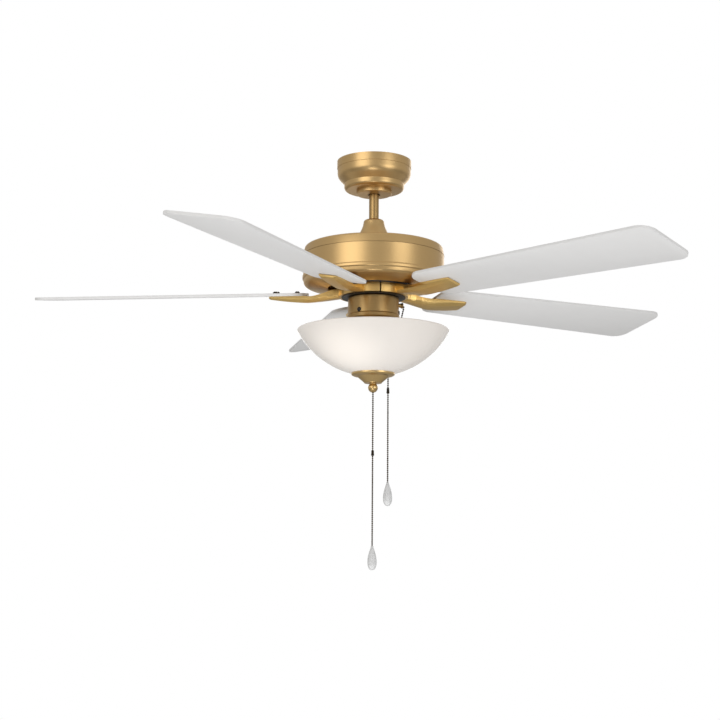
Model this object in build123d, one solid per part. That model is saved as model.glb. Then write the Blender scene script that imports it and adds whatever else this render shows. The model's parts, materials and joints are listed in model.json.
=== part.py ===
from build123d import *
import math
import os

# Ceiling fan with a bowl light, hung from its ceiling bracket.
# Millimetres. The origin is on the ceiling, on the axis of the downrod; +Z is up.
# Every height below is a z value, so it is negative under the ceiling.

# ---- driving dimensions -------------------------------------------------------
FAN_SWEEP = 1320.8              # 52 inch blade sweep
BLADE_COUNT = 5
FIRST_BLADE_ANGLE = 173.5       # degrees from +X to blade 1
BLADE_PITCH = 10.9              # degrees, leading edge down
RUN = 0.3                       # gap between pieces that move past each other
FIT = 0.05                      # radial clearance of a shaft in its hole
SHEET = 1.5                     # spun sheet metal

# canopy and hanger
CANOPY_R = 72.3
CANOPY_BAND_Z = -15.0
CANOPY_BOTTOM_Z = -58.4
CANOPY_HOLE_R = 13.5
COVER_RING_R = 34.2
COVER_RING_BOTTOM_Z = -66.4
COVER_RING_HOLE_R = 12.0
BALL_R = 22.0
BALL_Z = -34.0
BRACKET_SHEET = 2.5
BRACKET_HALF_LENGTH = 58.0
BRACKET_HALF_WIDTH = 18.0
BRACKET_LEG_X = 30.0            # middle of each leg's sheet
BRACKET_SEAT_Z = -47.5          # underside of the seat plate
BRACKET_SEAT_SHEET = 4.0
SLOT_SPACING = 88.9             # 3 1/2 inch outlet box screws
SLOT_LENGTH = 12.0
SLOT_R = 2.4
CANOPY_SCREW_X = 24.3
CANOPY_SCREW_R = 2.0

# downrod and coupling
ROD_R = 9.55                    # 3/4 inch tube
ROD_BORE_R = 7.6
ROD_TOP_Z = -16.0
ROD_BOTTOM_Z = -149.0
PIN_R = 3.0
BALL_PIN_Z = -25.0
CLEVIS_PIN_Z = -139.0
COUPLING_R = 14.5
COUPLING_TOP_Z = -127.0
COUPLING_BOTTOM_Z = -170.0
FLANGE_R = 34.0

# motor housing
HOUSING_R = 136.1
TOP_COVER_R = 136.6
TOP_COVER_EDGE_Z = -190.3
BAND_BOTTOM_Z = -237.4
LOWER_COVER_Z = -254.9
LOWER_OPENING_R = 88.0

# motor
SHAFT_R = 7.5                   # carries two 15 mm bearings
SHAFT_BORE_R = 5.0
SHAFT_BOTTOM_Z = -280.0
STATOR_R = 62.0
STATOR_TOP_Z = -204.0
STATOR_BOTTOM_Z = -226.0
ROTOR_CAGE_R = 82.0
BEARING_R = 17.5
BEARING_WIDTH = 11.0
UPPER_BEARING_Z = -190.0        # top face
LOWER_BEARING_Z = -231.0

# blade arms and blades
ARM_RING_R = 67.0
ARM_RING_INNER_R = 44.0
ARM_RING_TOP_Z = -252.4
ARM_RING_BOTTOM_Z = -270.4
ARM_GAP = 2.7                   # slit between two neighbouring arm bases
BLADE_PLANE_Z = -262.0          # middle of the blade's thickness
BLADE_THICKNESS = 5.4
BLADE_ROOT_U = 131.0
BLADE_TIP_U = 658.6
BLADE_ROOT_HALF_WIDTH = 55.0
BLADE_TIP_HALF_WIDTH = 73.5
BLADE_ROOT_CORNER_R = 38.0
BLADE_TIP_CORNER_R = 26.0
BLADE_SCREWS = [(148.8, 0.0), (190.0, -12.0), (190.0, 12.0)]   # along, across
SCREW_R = 2.5
SCREW_HEAD_R = 5.0
ARM_SCREW_R = 58.0
ARM_SCREW_ANGLE = 21.0          # either side of the arm's own angle

# switch housing and light kit
DISC_R = 61.8
DISC_TOP_Z = -270.8
DISC_BOTTOM_Z = -271.7
SWITCH_HOUSING_R = 49.1
SWITCH_HOUSING_BOTTOM_Z = -305.1
PAN_TOP_Z = -305.4
PAN_BOTTOM_Z = -319.0
PAN_R = 52.6
PAN_PLATE_Z = -309.0
KIT_SCREW_ANGLES = [236.4, 356.4, 116.4]
KIT_SCREW_Z = -300.8
PORT_ANGLE = 20.0
PORT_Z = -282.2
PORT_END_R = 60.0
REVERSE_ANGLE = 90.0
REVERSE_Z = -289.0
REVERSE_TRAVEL = 4.0

# lamps
LAMP_ANGLES = [250.0, 70.0]
LAMP_TILT = 15.0                # degrees below level
LAMP_Z = -330.0
SOCKET_R = 16.5

# glass bowl, a slice of a sphere
GLASS = 4.0
BOWL_SPHERE_R = 167.4
BOWL_SPHERE_Z = -255.6
BOWL_RIM_Z = -334.4
BOWL_HOLE_R = 6.0

# centre pipe, cap and finial
PIPE_R = 4.8
PIPE_BORE_R = 2.4
PIPE_TOP_Z = -309.0
CAP_R = 41.6
CAP_TOP_Z = -418.0
CAP_BOTTOM_Z = -437.2
FINIAL_R = 9.4
FINIAL_Z = -446.0
FINIAL_MOUTH_Z = -454.6

# pull chains
CHAIN_R = 1.6
CONNECTOR_R = 3.0
CONNECTOR_LENGTH = 10.0
LIGHT_CHAIN_TOP_Z = -322.0
LIGHT_CONNECTOR_Z = -571.0
LIGHT_PENDANT_Z = -746.2
FAN_EXIT = (28.9, 20.0, -422.6)       # where the fan's chain leaves the cap
FAN_CHAIN_STUB_DROP = 6.0             # from the ferrule's lip to the end of the still bend
CHAIN_JOINT_GAP = 0.9                 # between the bead at an exit and the one under it
FAN_CONNECTOR_Z = -448.8
FAN_PENDANT_Z = -625.0
PENDANT_LENGTH = 45.0
PENDANT_R = 8.7


# ---- helpers ------------------------------------------------------------------
def turned(*edges):
    """A solid turned about Z from edges drawn as (radius, height)."""
    return revolve(Plane.XZ * make_face(edges), Axis.Z, 360)


def tube(outer, inner, low, high):
    """A plain ring between two heights."""
    body = Pos(0, 0, low) * Cylinder(outer, high - low, align=(Align.CENTER, Align.CENTER, Align.MIN))
    if inner > 0:
        body -= Pos(0, 0, low - 1) * Cylinder(inner, high - low + 2, align=(Align.CENTER, Align.CENTER, Align.MIN))
    return body


def rod(outer, low, high, x=0.0, y=0.0):
    """A vertical round bar."""
    return Pos(x, y, 0) * tube(outer, 0, low, high)


def offset_points(points, distance):
    """The corner points of a line moved sideways, to its left when distance is positive."""
    moved = []
    for index, point in enumerate(points):
        here = Vector(*point)
        normals = []
        if index > 0:
            step = (here - Vector(*points[index - 1])).normalized()
            normals.append(Vector(-step.Y, step.X))
        if index < len(points) - 1:
            step = (Vector(*points[index + 1]) - here).normalized()
            normals.append(Vector(-step.Y, step.X))
        if len(normals) == 1:
            shifted = here + normals[0] * distance
        else:
            spread = 1 + normals[0].dot(normals[1])
            shifted = here + (normals[0] + normals[1]) * (distance / spread)
        moved.append((shifted.X, shifted.Y))
    return moved


def turns_left(before, corner, after):
    """Whether a line turns to its left at a corner."""
    first = Vector(*corner) - Vector(*before)
    second = Vector(*after) - Vector(*corner)
    return first.X * second.Y - first.Y * second.X > 0


def rounded_line(points, radii):
    """Straight runs joined by tangent arcs; a radius too big for its corner is cut down."""
    edges = []
    here = Vector(*points[0])
    for index, radius in enumerate(radii):
        corner = Vector(*points[index + 1])
        back = Vector(*points[index]) - corner
        ahead = Vector(*points[index + 2]) - corner
        half_turn = math.radians(180 - back.get_angle(ahead)) / 2
        reach = min(radius * math.tan(half_turn), 0.48 * back.length, 0.48 * ahead.length)
        start = corner + back.normalized() * reach
        end = corner + ahead.normalized() * reach
        edges.append(Line(here, start))
        edges.append(TangentArc(start, end, tangent=corner - start))
        here = end
    edges.append(Line(here, Vector(*points[-1])))
    return edges


def spun_sheet(points, radii, thickness):
    """A turned sheet: points are its outer face, and the sheet lies to the left of them."""
    inner_radii = []
    for index, radius in enumerate(radii):
        left = turns_left(*points[index:index + 3])
        inner_radii.append(max(radius - thickness if left else radius + thickness, 0.1))
    inner_points = offset_points(points, thickness)
    outer_line = rounded_line(points, radii)
    inner_line = rounded_line(inner_points, inner_radii)
    caps = [Line(points[0], inner_points[0]), Line(points[-1], inner_points[-1])]
    return turned(*outer_line, *inner_line, *caps)


def around(angle, shape):
    """Turn a shape about the fan's axis."""
    return Rot(0, 0, angle) * shape


def save(name, *solids):
    """Write one node; several solids are one group of separate pieces."""
    flat = []
    for shape in solids:
        flat.extend(shape.solids())
    node = flat[0] if len(flat) == 1 else Compound(children=flat)
    export_step(node, f"parts/{name}.step")
    return node


# ---- hanger -------------------------------------------------------------------
def make_hanger_bracket():
    """A folded strap: a slotted plate on the ceiling and a seat that holds the ball."""
    plate = Pos(0, 0, -BRACKET_SHEET / 2) * Box(2 * BRACKET_HALF_LENGTH, 2 * BRACKET_HALF_WIDTH, BRACKET_SHEET)
    for side in (-1, 1):
        slot = extrude(SlotOverall(SLOT_LENGTH, 2 * SLOT_R), 2 * BRACKET_SHEET, both=True)
        plate -= Pos(side * SLOT_SPACING / 2, 0, 0) * slot
    plate -= tube(BALL_R + 1, 0, -10, 1)
    leg_height = -BRACKET_SEAT_Z
    body = plate
    for side in (-1, 1):
        leg = Box(BRACKET_SHEET, 2 * BRACKET_HALF_WIDTH, leg_height)
        body += Pos(side * BRACKET_LEG_X, 0, -leg_height / 2) * leg
    seat_width = 2 * BRACKET_LEG_X + BRACKET_SHEET
    seat = Box(seat_width, 2 * BRACKET_HALF_WIDTH + 8, BRACKET_SEAT_SHEET)
    seat = Pos(0, 0, BRACKET_SEAT_Z + BRACKET_SEAT_SHEET / 2) * seat
    seat -= Pos(0, 0, BALL_Z) * Sphere(BALL_R + FIT)
    entry_width = 2 * (ROD_R + 1)
    seat -= Pos(0, BRACKET_HALF_WIDTH, BRACKET_SEAT_Z) * Box(entry_width, 2 * BRACKET_HALF_WIDTH, 20)
    body += seat
    for side in (-1, 1):
        body -= rod(CANOPY_SCREW_R + FIT, BRACKET_SEAT_Z - 1, BRACKET_SEAT_Z + 6, side * CANOPY_SCREW_X)
    return body


def make_canopy():
    """The spun cup against the ceiling: a band, a rounded belly and a smaller lower tier."""
    points = [
        (CANOPY_R, 0),
        (CANOPY_R, CANOPY_BAND_Z),
        (CANOPY_R - 0.8, CANOPY_BAND_Z - 0.4),
        (CANOPY_R - 0.8, -31.2),
        (58.2, -45.4),
        (58.2, CANOPY_BOTTOM_Z),
        (CANOPY_HOLE_R, CANOPY_BOTTOM_Z),
    ]
    points = [(radius, height) for radius, height in reversed(points)]
    cup = spun_sheet(points, [10.5, 0.4, 24.0, 0.2, 0.2], SHEET)
    for side in (-1, 1):
        cup -= rod(CANOPY_SCREW_R + FIT, CANOPY_BOTTOM_Z - 1, CANOPY_BOTTOM_Z + 3, side * CANOPY_SCREW_X)
    return cup


def make_canopy_screws():
    """Two screws from under the canopy into the bracket's seat."""
    screws = []
    for side in (-1, 1):
        shank = rod(CANOPY_SCREW_R, CANOPY_BOTTOM_Z - 0.5, BRACKET_SEAT_Z + 5, side * CANOPY_SCREW_X)
        head = rod(4.0, CANOPY_BOTTOM_Z - 3.2, CANOPY_BOTTOM_Z, side * CANOPY_SCREW_X)
        screws.append(shank + head)
    return screws


def make_canopy_cover_ring():
    """The trim ring that hides the canopy screws."""
    points = [
        (COVER_RING_HOLE_R, COVER_RING_BOTTOM_Z),
        (COVER_RING_R, COVER_RING_BOTTOM_Z),
        (COVER_RING_R, CANOPY_BOTTOM_Z - 0.1),
    ]
    return spun_sheet(points, [1.8], 1.3)


# ---- downrod and coupling -------------------------------------------------------
def make_hanger_ball():
    ball = Pos(0, 0, BALL_Z) * Sphere(BALL_R)
    ball &= Pos(0, 0, BALL_Z) * Box(3 * BALL_R, 3 * BALL_R, 2 * BALL_R - 6)
    ball -= tube(ROD_R + FIT, 0, BALL_Z - 30, BALL_Z + 30)
    ball -= Pos(0, 0, BALL_PIN_Z) * Rot(0, 90, 0) * Cylinder(PIN_R + FIT, 4 * BALL_R)
    return ball


def make_downrod():
    body = tube(ROD_R, ROD_BORE_R, ROD_BOTTOM_Z, ROD_TOP_Z)
    for height in (BALL_PIN_Z, CLEVIS_PIN_Z):
        body -= Pos(0, 0, height) * Rot(0, 90, 0) * Cylinder(PIN_R + FIT, 4 * ROD_R)
    return body


def make_ball_cross_pin():
    return Pos(0, 0, BALL_PIN_Z) * Rot(0, 90, 0) * Cylinder(PIN_R, 32)


def make_coupling_cover():
    """The flared cup that hides the coupling on top of the motor."""
    points = [(31.0, -152.9), (27.6, -144.0), (21.2, -129.7), (19.3, -117.0), (ROD_R + 0.5, -117.0)]
    return spun_sheet(points, [40.0, 40.0, 6.5], 1.4)


def make_motor_coupling():
    """Clevis that pins the downrod, with the flange that carries the top cover."""
    body = tube(COUPLING_R, 0, COUPLING_BOTTOM_Z, COUPLING_TOP_Z)
    body += tube(FLANGE_R, 0, -159.0, -155.4)
    body -= tube(ROD_R + FIT, 0, ROD_BOTTOM_Z - 0.2, COUPLING_TOP_Z + 1)
    body -= tube(SHAFT_R + FIT, 0, COUPLING_BOTTOM_Z - 1, ROD_BOTTOM_Z + 1)
    body -= Pos(0, 0, CLEVIS_PIN_Z) * Rot(0, 90, 0) * Cylinder(PIN_R + FIT, 4 * COUPLING_R)
    return body


def make_clevis_pin():
    pin = Cylinder(PIN_R, 34)
    pin += Pos(0, 0, -17.5) * Cylinder(PIN_R + 1.2, 2)
    return Pos(0, 0, CLEVIS_PIN_Z) * Rot(0, 90, 0) * pin


# ---- motor ----------------------------------------------------------------------
def make_motor_shaft():
    """The fixed hollow shaft; the wires to the switch housing run down its bore."""
    return tube(SHAFT_R, SHAFT_BORE_R, SHAFT_BOTTOM_Z, ROD_BOTTOM_Z - 0.3)


def make_stator_core():
    """Laminated core with open slots round its rim."""
    core = tube(STATOR_R, SHAFT_R + FIT, STATOR_BOTTOM_Z, STATOR_TOP_Z)
    slot_count = 16
    for index in range(slot_count):
        slot = Pos(44, 0, (STATOR_TOP_Z + STATOR_BOTTOM_Z) / 2) * Box(22, 9, 40)
        mouth = Pos(58, 0, (STATOR_TOP_Z + STATOR_BOTTOM_Z) / 2) * Box(12, 2.5, 40)
        core -= around(index * 360 / slot_count, slot + mouth)
    return core


def make_stator_windings():
    """The copper end turns above and below the core."""
    turns = []
    for low, high in ((STATOR_TOP_Z + 0.1, STATOR_TOP_Z + 6), (STATOR_BOTTOM_Z - 5, STATOR_BOTTOM_Z - 0.1)):
        ring = tube(54, 33, low, high)
        turns.append(fillet(ring.edges().filter_by(GeomType.CIRCLE), 1.5))
    return turns


def make_rotor_cage():
    """The ring that spins round the outside of the stator."""
    return tube(ROTOR_CAGE_R, STATOR_R + 0.5, STATOR_BOTTOM_Z - 1, STATOR_TOP_Z + 1)


def make_bearing(top):
    ring = tube(BEARING_R, SHAFT_R + FIT, top - BEARING_WIDTH, top)
    groove = tube(14.5, 10.5, top - 1.2, top + 1)
    ring -= groove
    ring -= Pos(0, 0, -BEARING_WIDTH + 0.2) * groove
    return ring


def make_rotor_top_bell():
    """Dished end of the rotor, with the upper bearing in its hub."""
    bell = tube(ROTOR_CAGE_R, 0, STATOR_TOP_Z + 1.1, -194.5)
    bell -= tube(ROTOR_CAGE_R - 4, 0, STATOR_TOP_Z, -197.5)
    bell += tube(BEARING_R + 4, 0, UPPER_BEARING_Z - BEARING_WIDTH, UPPER_BEARING_Z)
    bell -= tube(BEARING_R + FIT, 0, UPPER_BEARING_Z - BEARING_WIDTH, UPPER_BEARING_Z + 1)
    bell -= tube(SHAFT_R + 1.5, 0, -230, -180)
    return bell


def make_rotor_bottom_bell():
    """Lower end of the rotor, with the flange that the blade arms are screwed to."""
    bell = tube(ROTOR_CAGE_R, 0, -236.0, STATOR_BOTTOM_Z - 1.1)
    bell -= tube(ROTOR_CAGE_R - 4, 0, -232.5, STATOR_BOTTOM_Z)
    hub_low = LOWER_BEARING_Z - BEARING_WIDTH
    bell += tube(BEARING_R + 4, 0, hub_low, LOWER_BEARING_Z - 2)
    bell += tube(ARM_RING_R - 2, ARM_RING_INNER_R + 2, ARM_RING_TOP_Z + 0.1, -235.0)
    bell -= tube(BEARING_R + FIT, 0, hub_low - 1, LOWER_BEARING_Z)
    bell -= tube(SHAFT_R + 1.5, 0, -260, -220)
    for index in range(BLADE_COUNT):
        for side in (-1, 1):
            angle = FIRST_BLADE_ANGLE + index * 360 / BLADE_COUNT + side * ARM_SCREW_ANGLE
            bell -= around(angle, rod(SCREW_R + FIT, ARM_RING_TOP_Z - 1, ARM_RING_TOP_Z + 9, ARM_SCREW_R))
    return bell


# ---- motor housing ----------------------------------------------------------------
def make_housing_top_cover():
    """Shallow dome over the motor, rolled down over a rounded shoulder."""
    points = [
        (TOP_COVER_R, TOP_COVER_EDGE_Z),
        (133.6, -173.4),
        (116.0, -170.6),
        (36.0, -153.8),
        (COUPLING_R + 0.5, -153.8),
    ]
    return spun_sheet(points, [5.0, 60.0, 12.0], SHEET)


def make_housing_band():
    """Straight side of the motor housing, with a rolled bead at its lower edge."""
    points = [
        (HOUSING_R + 0.3, BAND_BOTTOM_Z),
        (HOUSING_R + 1.5, -235.6),
        (HOUSING_R + 1.5, -231.0),
        (HOUSING_R, -229.2),
        (HOUSING_R, TOP_COVER_EDGE_Z - 0.5),
    ]
    return spun_sheet(points, [1.0, 1.0, 1.0], SHEET)


def make_housing_lower_cover():
    """Shallow pan under the motor, open in the middle for the blade arms."""
    points = [
        (LOWER_OPENING_R, LOWER_COVER_Z + 5.5),
        (LOWER_OPENING_R, LOWER_COVER_Z),
        (110.6, -251.9),
        (134.4, -247.2),
        (HOUSING_R - 0.3, BAND_BOTTOM_Z - 0.1),
    ]
    return spun_sheet(points, [2.0, 60.0, 11.0], SHEET)


# ---- blade arms and blades -----------------------------------------------------------
def arm_section(along, top, bottom, half_width, twist):
    """One six-sided section of a blade arm, turned about the blade's middle line."""
    bevel = 1.8
    corners = [
        (half_width, top),
        (half_width, bottom + bevel),
        (half_width - bevel, bottom),
        (-half_width + bevel, bottom),
        (-half_width, bottom + bevel),
        (-half_width, top),
    ]
    angle = math.radians(-twist)
    points = []
    for across, height in corners:
        rise = height - BLADE_PLANE_Z
        turned_across = across * math.cos(angle) - rise * math.sin(angle)
        turned_rise = across * math.sin(angle) + rise * math.cos(angle)
        points.append((along, turned_across, BLADE_PLANE_Z + turned_rise))
    return make_face(Polyline(*points, close=True))


def make_blade_arm():
    """A cast arm along +X: a sector of the hub ring, a neck that dips, and the blade's seat."""
    half_sector = math.degrees(ARM_GAP / 2 / ARM_RING_R)
    sector = 180 / BLADE_COUNT - half_sector
    block = tube(ARM_RING_R, ARM_RING_INNER_R, ARM_RING_BOTTOM_Z, ARM_RING_TOP_Z)
    for side in (-1, 1):
        cutter = Pos(0, side * 100, 0) * Box(400, 200, 1000)
        block -= around(side * sector, cutter)
    seat_top = BLADE_PLANE_Z - BLADE_THICKNESS / 2 - 0.1
    sections = [
        arm_section(64.0, ARM_RING_TOP_Z - 0.2, ARM_RING_BOTTOM_Z + 0.1, 11.0, 0.0),
        arm_section(80.0, -255.6, -272.9, 11.6, 1.5),
        arm_section(98.0, -261.4, -275.4, 13.2, 0.5 * BLADE_PITCH),
        arm_section(118.0, seat_top - 0.4, -277.8, 15.4, BLADE_PITCH),
        arm_section(134.0, seat_top, -278.2, 16.8, BLADE_PITCH),
        arm_section(166.0, seat_top, -275.6, 18.0, BLADE_PITCH),
        arm_section(198.0, seat_top, -271.2, 18.4, BLADE_PITCH),
    ]
    arm = loft(sections, ruled=True)
    end = loft([
        arm_section(198.0, seat_top, -271.2, 18.4, BLADE_PITCH),
        arm_section(202.0, seat_top - 0.8, -269.8, 16.8, BLADE_PITCH),
    ], ruled=True)
    body = block + arm + end
    for side in (-1, 1):
        hole = rod(SCREW_R + FIT, ARM_RING_BOTTOM_Z - 1, ARM_RING_TOP_Z + 1, ARM_SCREW_R)
        recess = rod(SCREW_HEAD_R, ARM_RING_BOTTOM_Z - 1, ARM_RING_BOTTOM_Z + 3.6, ARM_SCREW_R)
        body -= around(side * ARM_SCREW_ANGLE, hole + recess)
    for along, across in BLADE_SCREWS:
        body -= pitched(rod(SCREW_R + FIT, -6.5 - BLADE_THICKNESS / 2, 0, along, across))
    return body


def pitched(shape):
    """Put a shape drawn about the blade's own plane into the fan, for a blade along +X."""
    return Pos(0, 0, BLADE_PLANE_Z) * Rot(-BLADE_PITCH, 0, 0) * shape


def make_blade():
    """A flat tapered blade along +X with rounded corners."""
    outline = Polyline(
        (BLADE_ROOT_U, -BLADE_ROOT_HALF_WIDTH),
        (BLADE_TIP_U, -BLADE_TIP_HALF_WIDTH),
        (BLADE_TIP_U, BLADE_TIP_HALF_WIDTH),
        (BLADE_ROOT_U, BLADE_ROOT_HALF_WIDTH),
        close=True,
    )
    face = make_face(outline)
    corners = face.vertices().sort_by(Axis.X)
    face = fillet(corners[:2], BLADE_ROOT_CORNER_R)
    corners = face.vertices().sort_by(Axis.X)
    face = fillet(corners[-2:], BLADE_TIP_CORNER_R)
    blade = extrude(face, BLADE_THICKNESS / 2, both=True)
    blade = chamfer(blade.faces().filter_by(Axis.Z).edges(), 0.7)
    for along, across in BLADE_SCREWS:
        blade -= rod(SCREW_R + FIT, -10, 10, along, across)
    return pitched(blade)


def make_blade_screws():
    """Three dome-head screws hold each blade down on its arm."""
    screws = []
    dome_height = 3.4
    for index in range(BLADE_COUNT):
        angle = FIRST_BLADE_ANGLE + index * 360 / BLADE_COUNT
        for along, across in BLADE_SCREWS:
            shank = rod(SCREW_R, -6.0 - BLADE_THICKNESS / 2, BLADE_THICKNESS / 2 + 0.5, along, across)
            head = rod(SCREW_HEAD_R, BLADE_THICKNESS / 2, BLADE_THICKNESS / 2 + dome_height, along, across)
            head = fillet(head.faces().sort_by(Axis.Z)[-1].edges(), 2.4)
            screws.append(around(angle, pitched(shank + head)))
    return screws


def make_arm_screws():
    """Two screws hold each arm's base up against the rotor flange."""
    screws = []
    for index in range(BLADE_COUNT):
        for side in (-1, 1):
            angle = FIRST_BLADE_ANGLE + index * 360 / BLADE_COUNT + side * ARM_SCREW_ANGLE
            head_top = ARM_RING_BOTTOM_Z + 3.6
            shank = rod(SCREW_R, head_top - 1, ARM_RING_TOP_Z + 8, ARM_SCREW_R)
            head = rod(SCREW_HEAD_R - 0.4, head_top - 3.2, head_top, ARM_SCREW_R)
            screws.append(around(angle, shank + head))
    return screws


# ---- switch housing -----------------------------------------------------------------
def make_mounting_disc():
    """Black plate on the end of the shaft that carries the switch housing."""
    return tube(DISC_R, SHAFT_R + FIT, DISC_BOTTOM_Z, DISC_TOP_Z)


def make_shaft_nut():
    nut = extrude(Pos(0, 0, SHAFT_BOTTOM_Z + 0.5) * RegularPolygon(14, 6), 7.1)
    return nut - tube(SHAFT_R + FIT, 0, -300, -260)


def make_switch_housing():
    """The cup that holds the switches, hung under the mounting disc."""
    points = [
        (SWITCH_HOUSING_R, SWITCH_HOUSING_BOTTOM_Z),
        (SWITCH_HOUSING_R, DISC_BOTTOM_Z - 0.1),
        (18.0, DISC_BOTTOM_Z - 0.1),
    ]
    cup = spun_sheet(points, [2.2], SHEET)
    for angle in KIT_SCREW_ANGLES:
        cup -= around(angle, Pos(SWITCH_HOUSING_R, 0, KIT_SCREW_Z) * Rot(0, 90, 0) * Cylinder(2.05, 10))
    cup -= around(PORT_ANGLE, Pos(SWITCH_HOUSING_R, 0, PORT_Z) * Rot(0, 90, 0) * Cylinder(4.05, 10))
    window = Box(10, 7, 6 + REVERSE_TRAVEL + 1)
    cup -= around(REVERSE_ANGLE, Pos(SWITCH_HOUSING_R, 0, REVERSE_Z) * window)
    return cup


def make_chain_port():
    """Flared brass ferrule that the fan's pull chain comes out of."""
    start = SWITCH_HOUSING_R - 5
    mouth = PORT_END_R
    outer = rounded_line([(4.0, start), (4.0, mouth - 5), (5.6, mouth - 0.8), (5.6, mouth)], [3.0, 0.4])
    inner = rounded_line([(2.6, start), (2.6, mouth - 5), (4.4, mouth)], [3.0])
    caps = [Line((4.0, start), (2.6, start)), Line((5.6, mouth), (4.4, mouth))]
    ferrule = turned(*outer, *inner, *caps)
    ferrule += tube(5.4, 2.6, SWITCH_HOUSING_R + 0.05, SWITCH_HOUSING_R + 1.6)
    return around(PORT_ANGLE, Pos(0, 0, PORT_Z) * Rot(0, 90, 0) * ferrule)


def make_speed_switch():
    """Pull switch body behind the ferrule."""
    body = Pos(34, 0, PORT_Z - 2) * Box(19, 26, 16)
    return around(PORT_ANGLE, body)


def make_reverse_switch_body():
    body = Box(9, 20, 16) - Pos(4, 0, 0) * Box(4, 7, 6 + REVERSE_TRAVEL + 1)
    return around(REVERSE_ANGLE, Pos(SWITCH_HOUSING_R - SHEET - 6, 0, REVERSE_Z) * body)


def make_reverse_slider():
    """Finger slider; it stands at the top of its window at rest."""
    knob_height = 6
    rest_z = REVERSE_Z + REVERSE_TRAVEL / 2
    knob = Box(6, 5.6, knob_height)
    for rib in (-1.6, 0, 1.6):
        knob += Pos(3.2, 0, rib) * Box(1.0, 5.6, 0.7)
    return around(REVERSE_ANGLE, Pos(SWITCH_HOUSING_R - 0.8, 0, rest_z) * knob)


def make_run_capacitor():
    block = fillet(Box(16, 36, 20).edges(), 2)
    return around(200.0, Pos(32, 0, -291) * block)


# ---- light kit -----------------------------------------------------------------------
def make_light_kit_pan():
    """Flared pan under the switch housing; its plate carries the lampholders."""
    inner = SWITCH_HOUSING_R - SHEET
    points = [
        (PAN_R - 3.8, PAN_BOTTOM_Z),
        (PAN_R, PAN_BOTTOM_Z),
        (PAN_R, PAN_BOTTOM_Z + 2.4),
        (PAN_R - 1.9, PAN_BOTTOM_Z + 5.4),
        (PAN_R - 2.4, PAN_TOP_Z - 1.6),
        (PAN_R - 3.2, PAN_TOP_Z),
    ]
    pan = spun_sheet(points, [1.0, 0.8, 6.0, 1.0], SHEET)
    collar = tube(inner - 0.05, inner - SHEET, PAN_TOP_Z - 1.6, PAN_TOP_Z + 8)
    pan += collar
    pan += tube(PAN_R - 3.0, 5.0, PAN_PLATE_Z - 1.5, PAN_PLATE_Z + 2.4)
    pan -= tube(inner - SHEET, 5.0, PAN_PLATE_Z + 0.1, PAN_PLATE_Z + 3)
    for angle in KIT_SCREW_ANGLES:
        pan -= around(angle, Pos(SWITCH_HOUSING_R, 0, KIT_SCREW_Z) * Rot(0, 90, 0) * Cylinder(2.05, 12))
    for angle in LAMP_ANGLES:
        tab_low = LAMP_Z - 8
        tab_height = PAN_PLATE_Z - tab_low - 0.5
        tab = Pos(14.5, 0, tab_low + tab_height / 2) * Box(1.6, 14, tab_height)
        pan += around(angle, tab)
    return pan


def make_light_kit_screws():
    """Three dark thumb screws through the switch housing into the pan's collar."""
    screws = []
    for angle in KIT_SCREW_ANGLES:
        shank = Cylinder(2.0, 6)
        head = Pos(0, 0, 3.5) * Cylinder(3.7, 1.8)
        screw = fillet(head.faces().sort_by(Axis.Z)[-1].edges(), 0.7) + shank
        screws.append(around(angle, Pos(SWITCH_HOUSING_R - 2.5, 0, KIT_SCREW_Z) * Rot(0, 90, 0) * screw))
    return screws


def along_lamp(angle, shape):
    """Put a shape drawn along +X into a lampholder's line."""
    return around(angle, Pos(0, 0, LAMP_Z) * Rot(0, LAMP_TILT, 0) * shape)


def make_lamp_sockets():
    sockets = []
    for angle in LAMP_ANGLES:
        body = turned(*Polyline((0, 17.0), (12.0, 17.0), (SOCKET_R, 22.0), (SOCKET_R, 50.0), (13.4, 50.0),
                                (13.4, 26.0), (0, 26.0), (0, 17.0)).edges())
        sockets.append(along_lamp(angle, Rot(0, 90, 0) * body))
    return sockets


def make_bulbs():
    """Two small globe lamps, each with its screw base."""
    bulbs = []
    for angle in LAMP_ANGLES:
        globe_r = 23.5
        globe_s = 92.0
        from_bottom = (Align.CENTER, Align.CENTER, Align.MIN)
        bulb = Pos(0, 0, globe_s) * Sphere(globe_r)
        bulb += Pos(0, 0, 50) * Cone(13.0, 22.0, 34, align=from_bottom)
        bulb += tube(13.0, 0, 33, 52)
        bulb += tube(6.0, 0, 30, 34)
        bulbs.append(along_lamp(angle, Rot(0, 90, 0) * bulb))
    return bulbs


def make_light_pull_switch():
    """Small pull switch on the pan, above the centre pipe's chain."""
    return Pos(0, 0, -302) * Box(20, 20, 12)


def make_centre_pipe():
    """Threaded pipe from the pan to the finial; the light's chain runs inside it."""
    pipe = tube(PIPE_R, PIPE_BORE_R, CAP_BOTTOM_Z - 2.2, PAN_PLATE_Z + 0.6)
    nut = extrude(Pos(0, 0, PAN_PLATE_Z - 5.6) * RegularPolygon(9, 6), 4)
    return pipe + (nut - tube(PIPE_BORE_R, 0, -330, -300))


# ---- glass bowl, cap and finial ---------------------------------------------------------
def sphere_z(radius, sphere_r):
    """Height of the bowl's sphere at a distance from the axis."""
    return BOWL_SPHERE_Z - math.sqrt(sphere_r ** 2 - radius ** 2)


def sphere_radius(height, sphere_r):
    """Distance from the axis to the bowl's sphere at a height."""
    return math.sqrt(sphere_r ** 2 - (height - BOWL_SPHERE_Z) ** 2)


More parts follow.
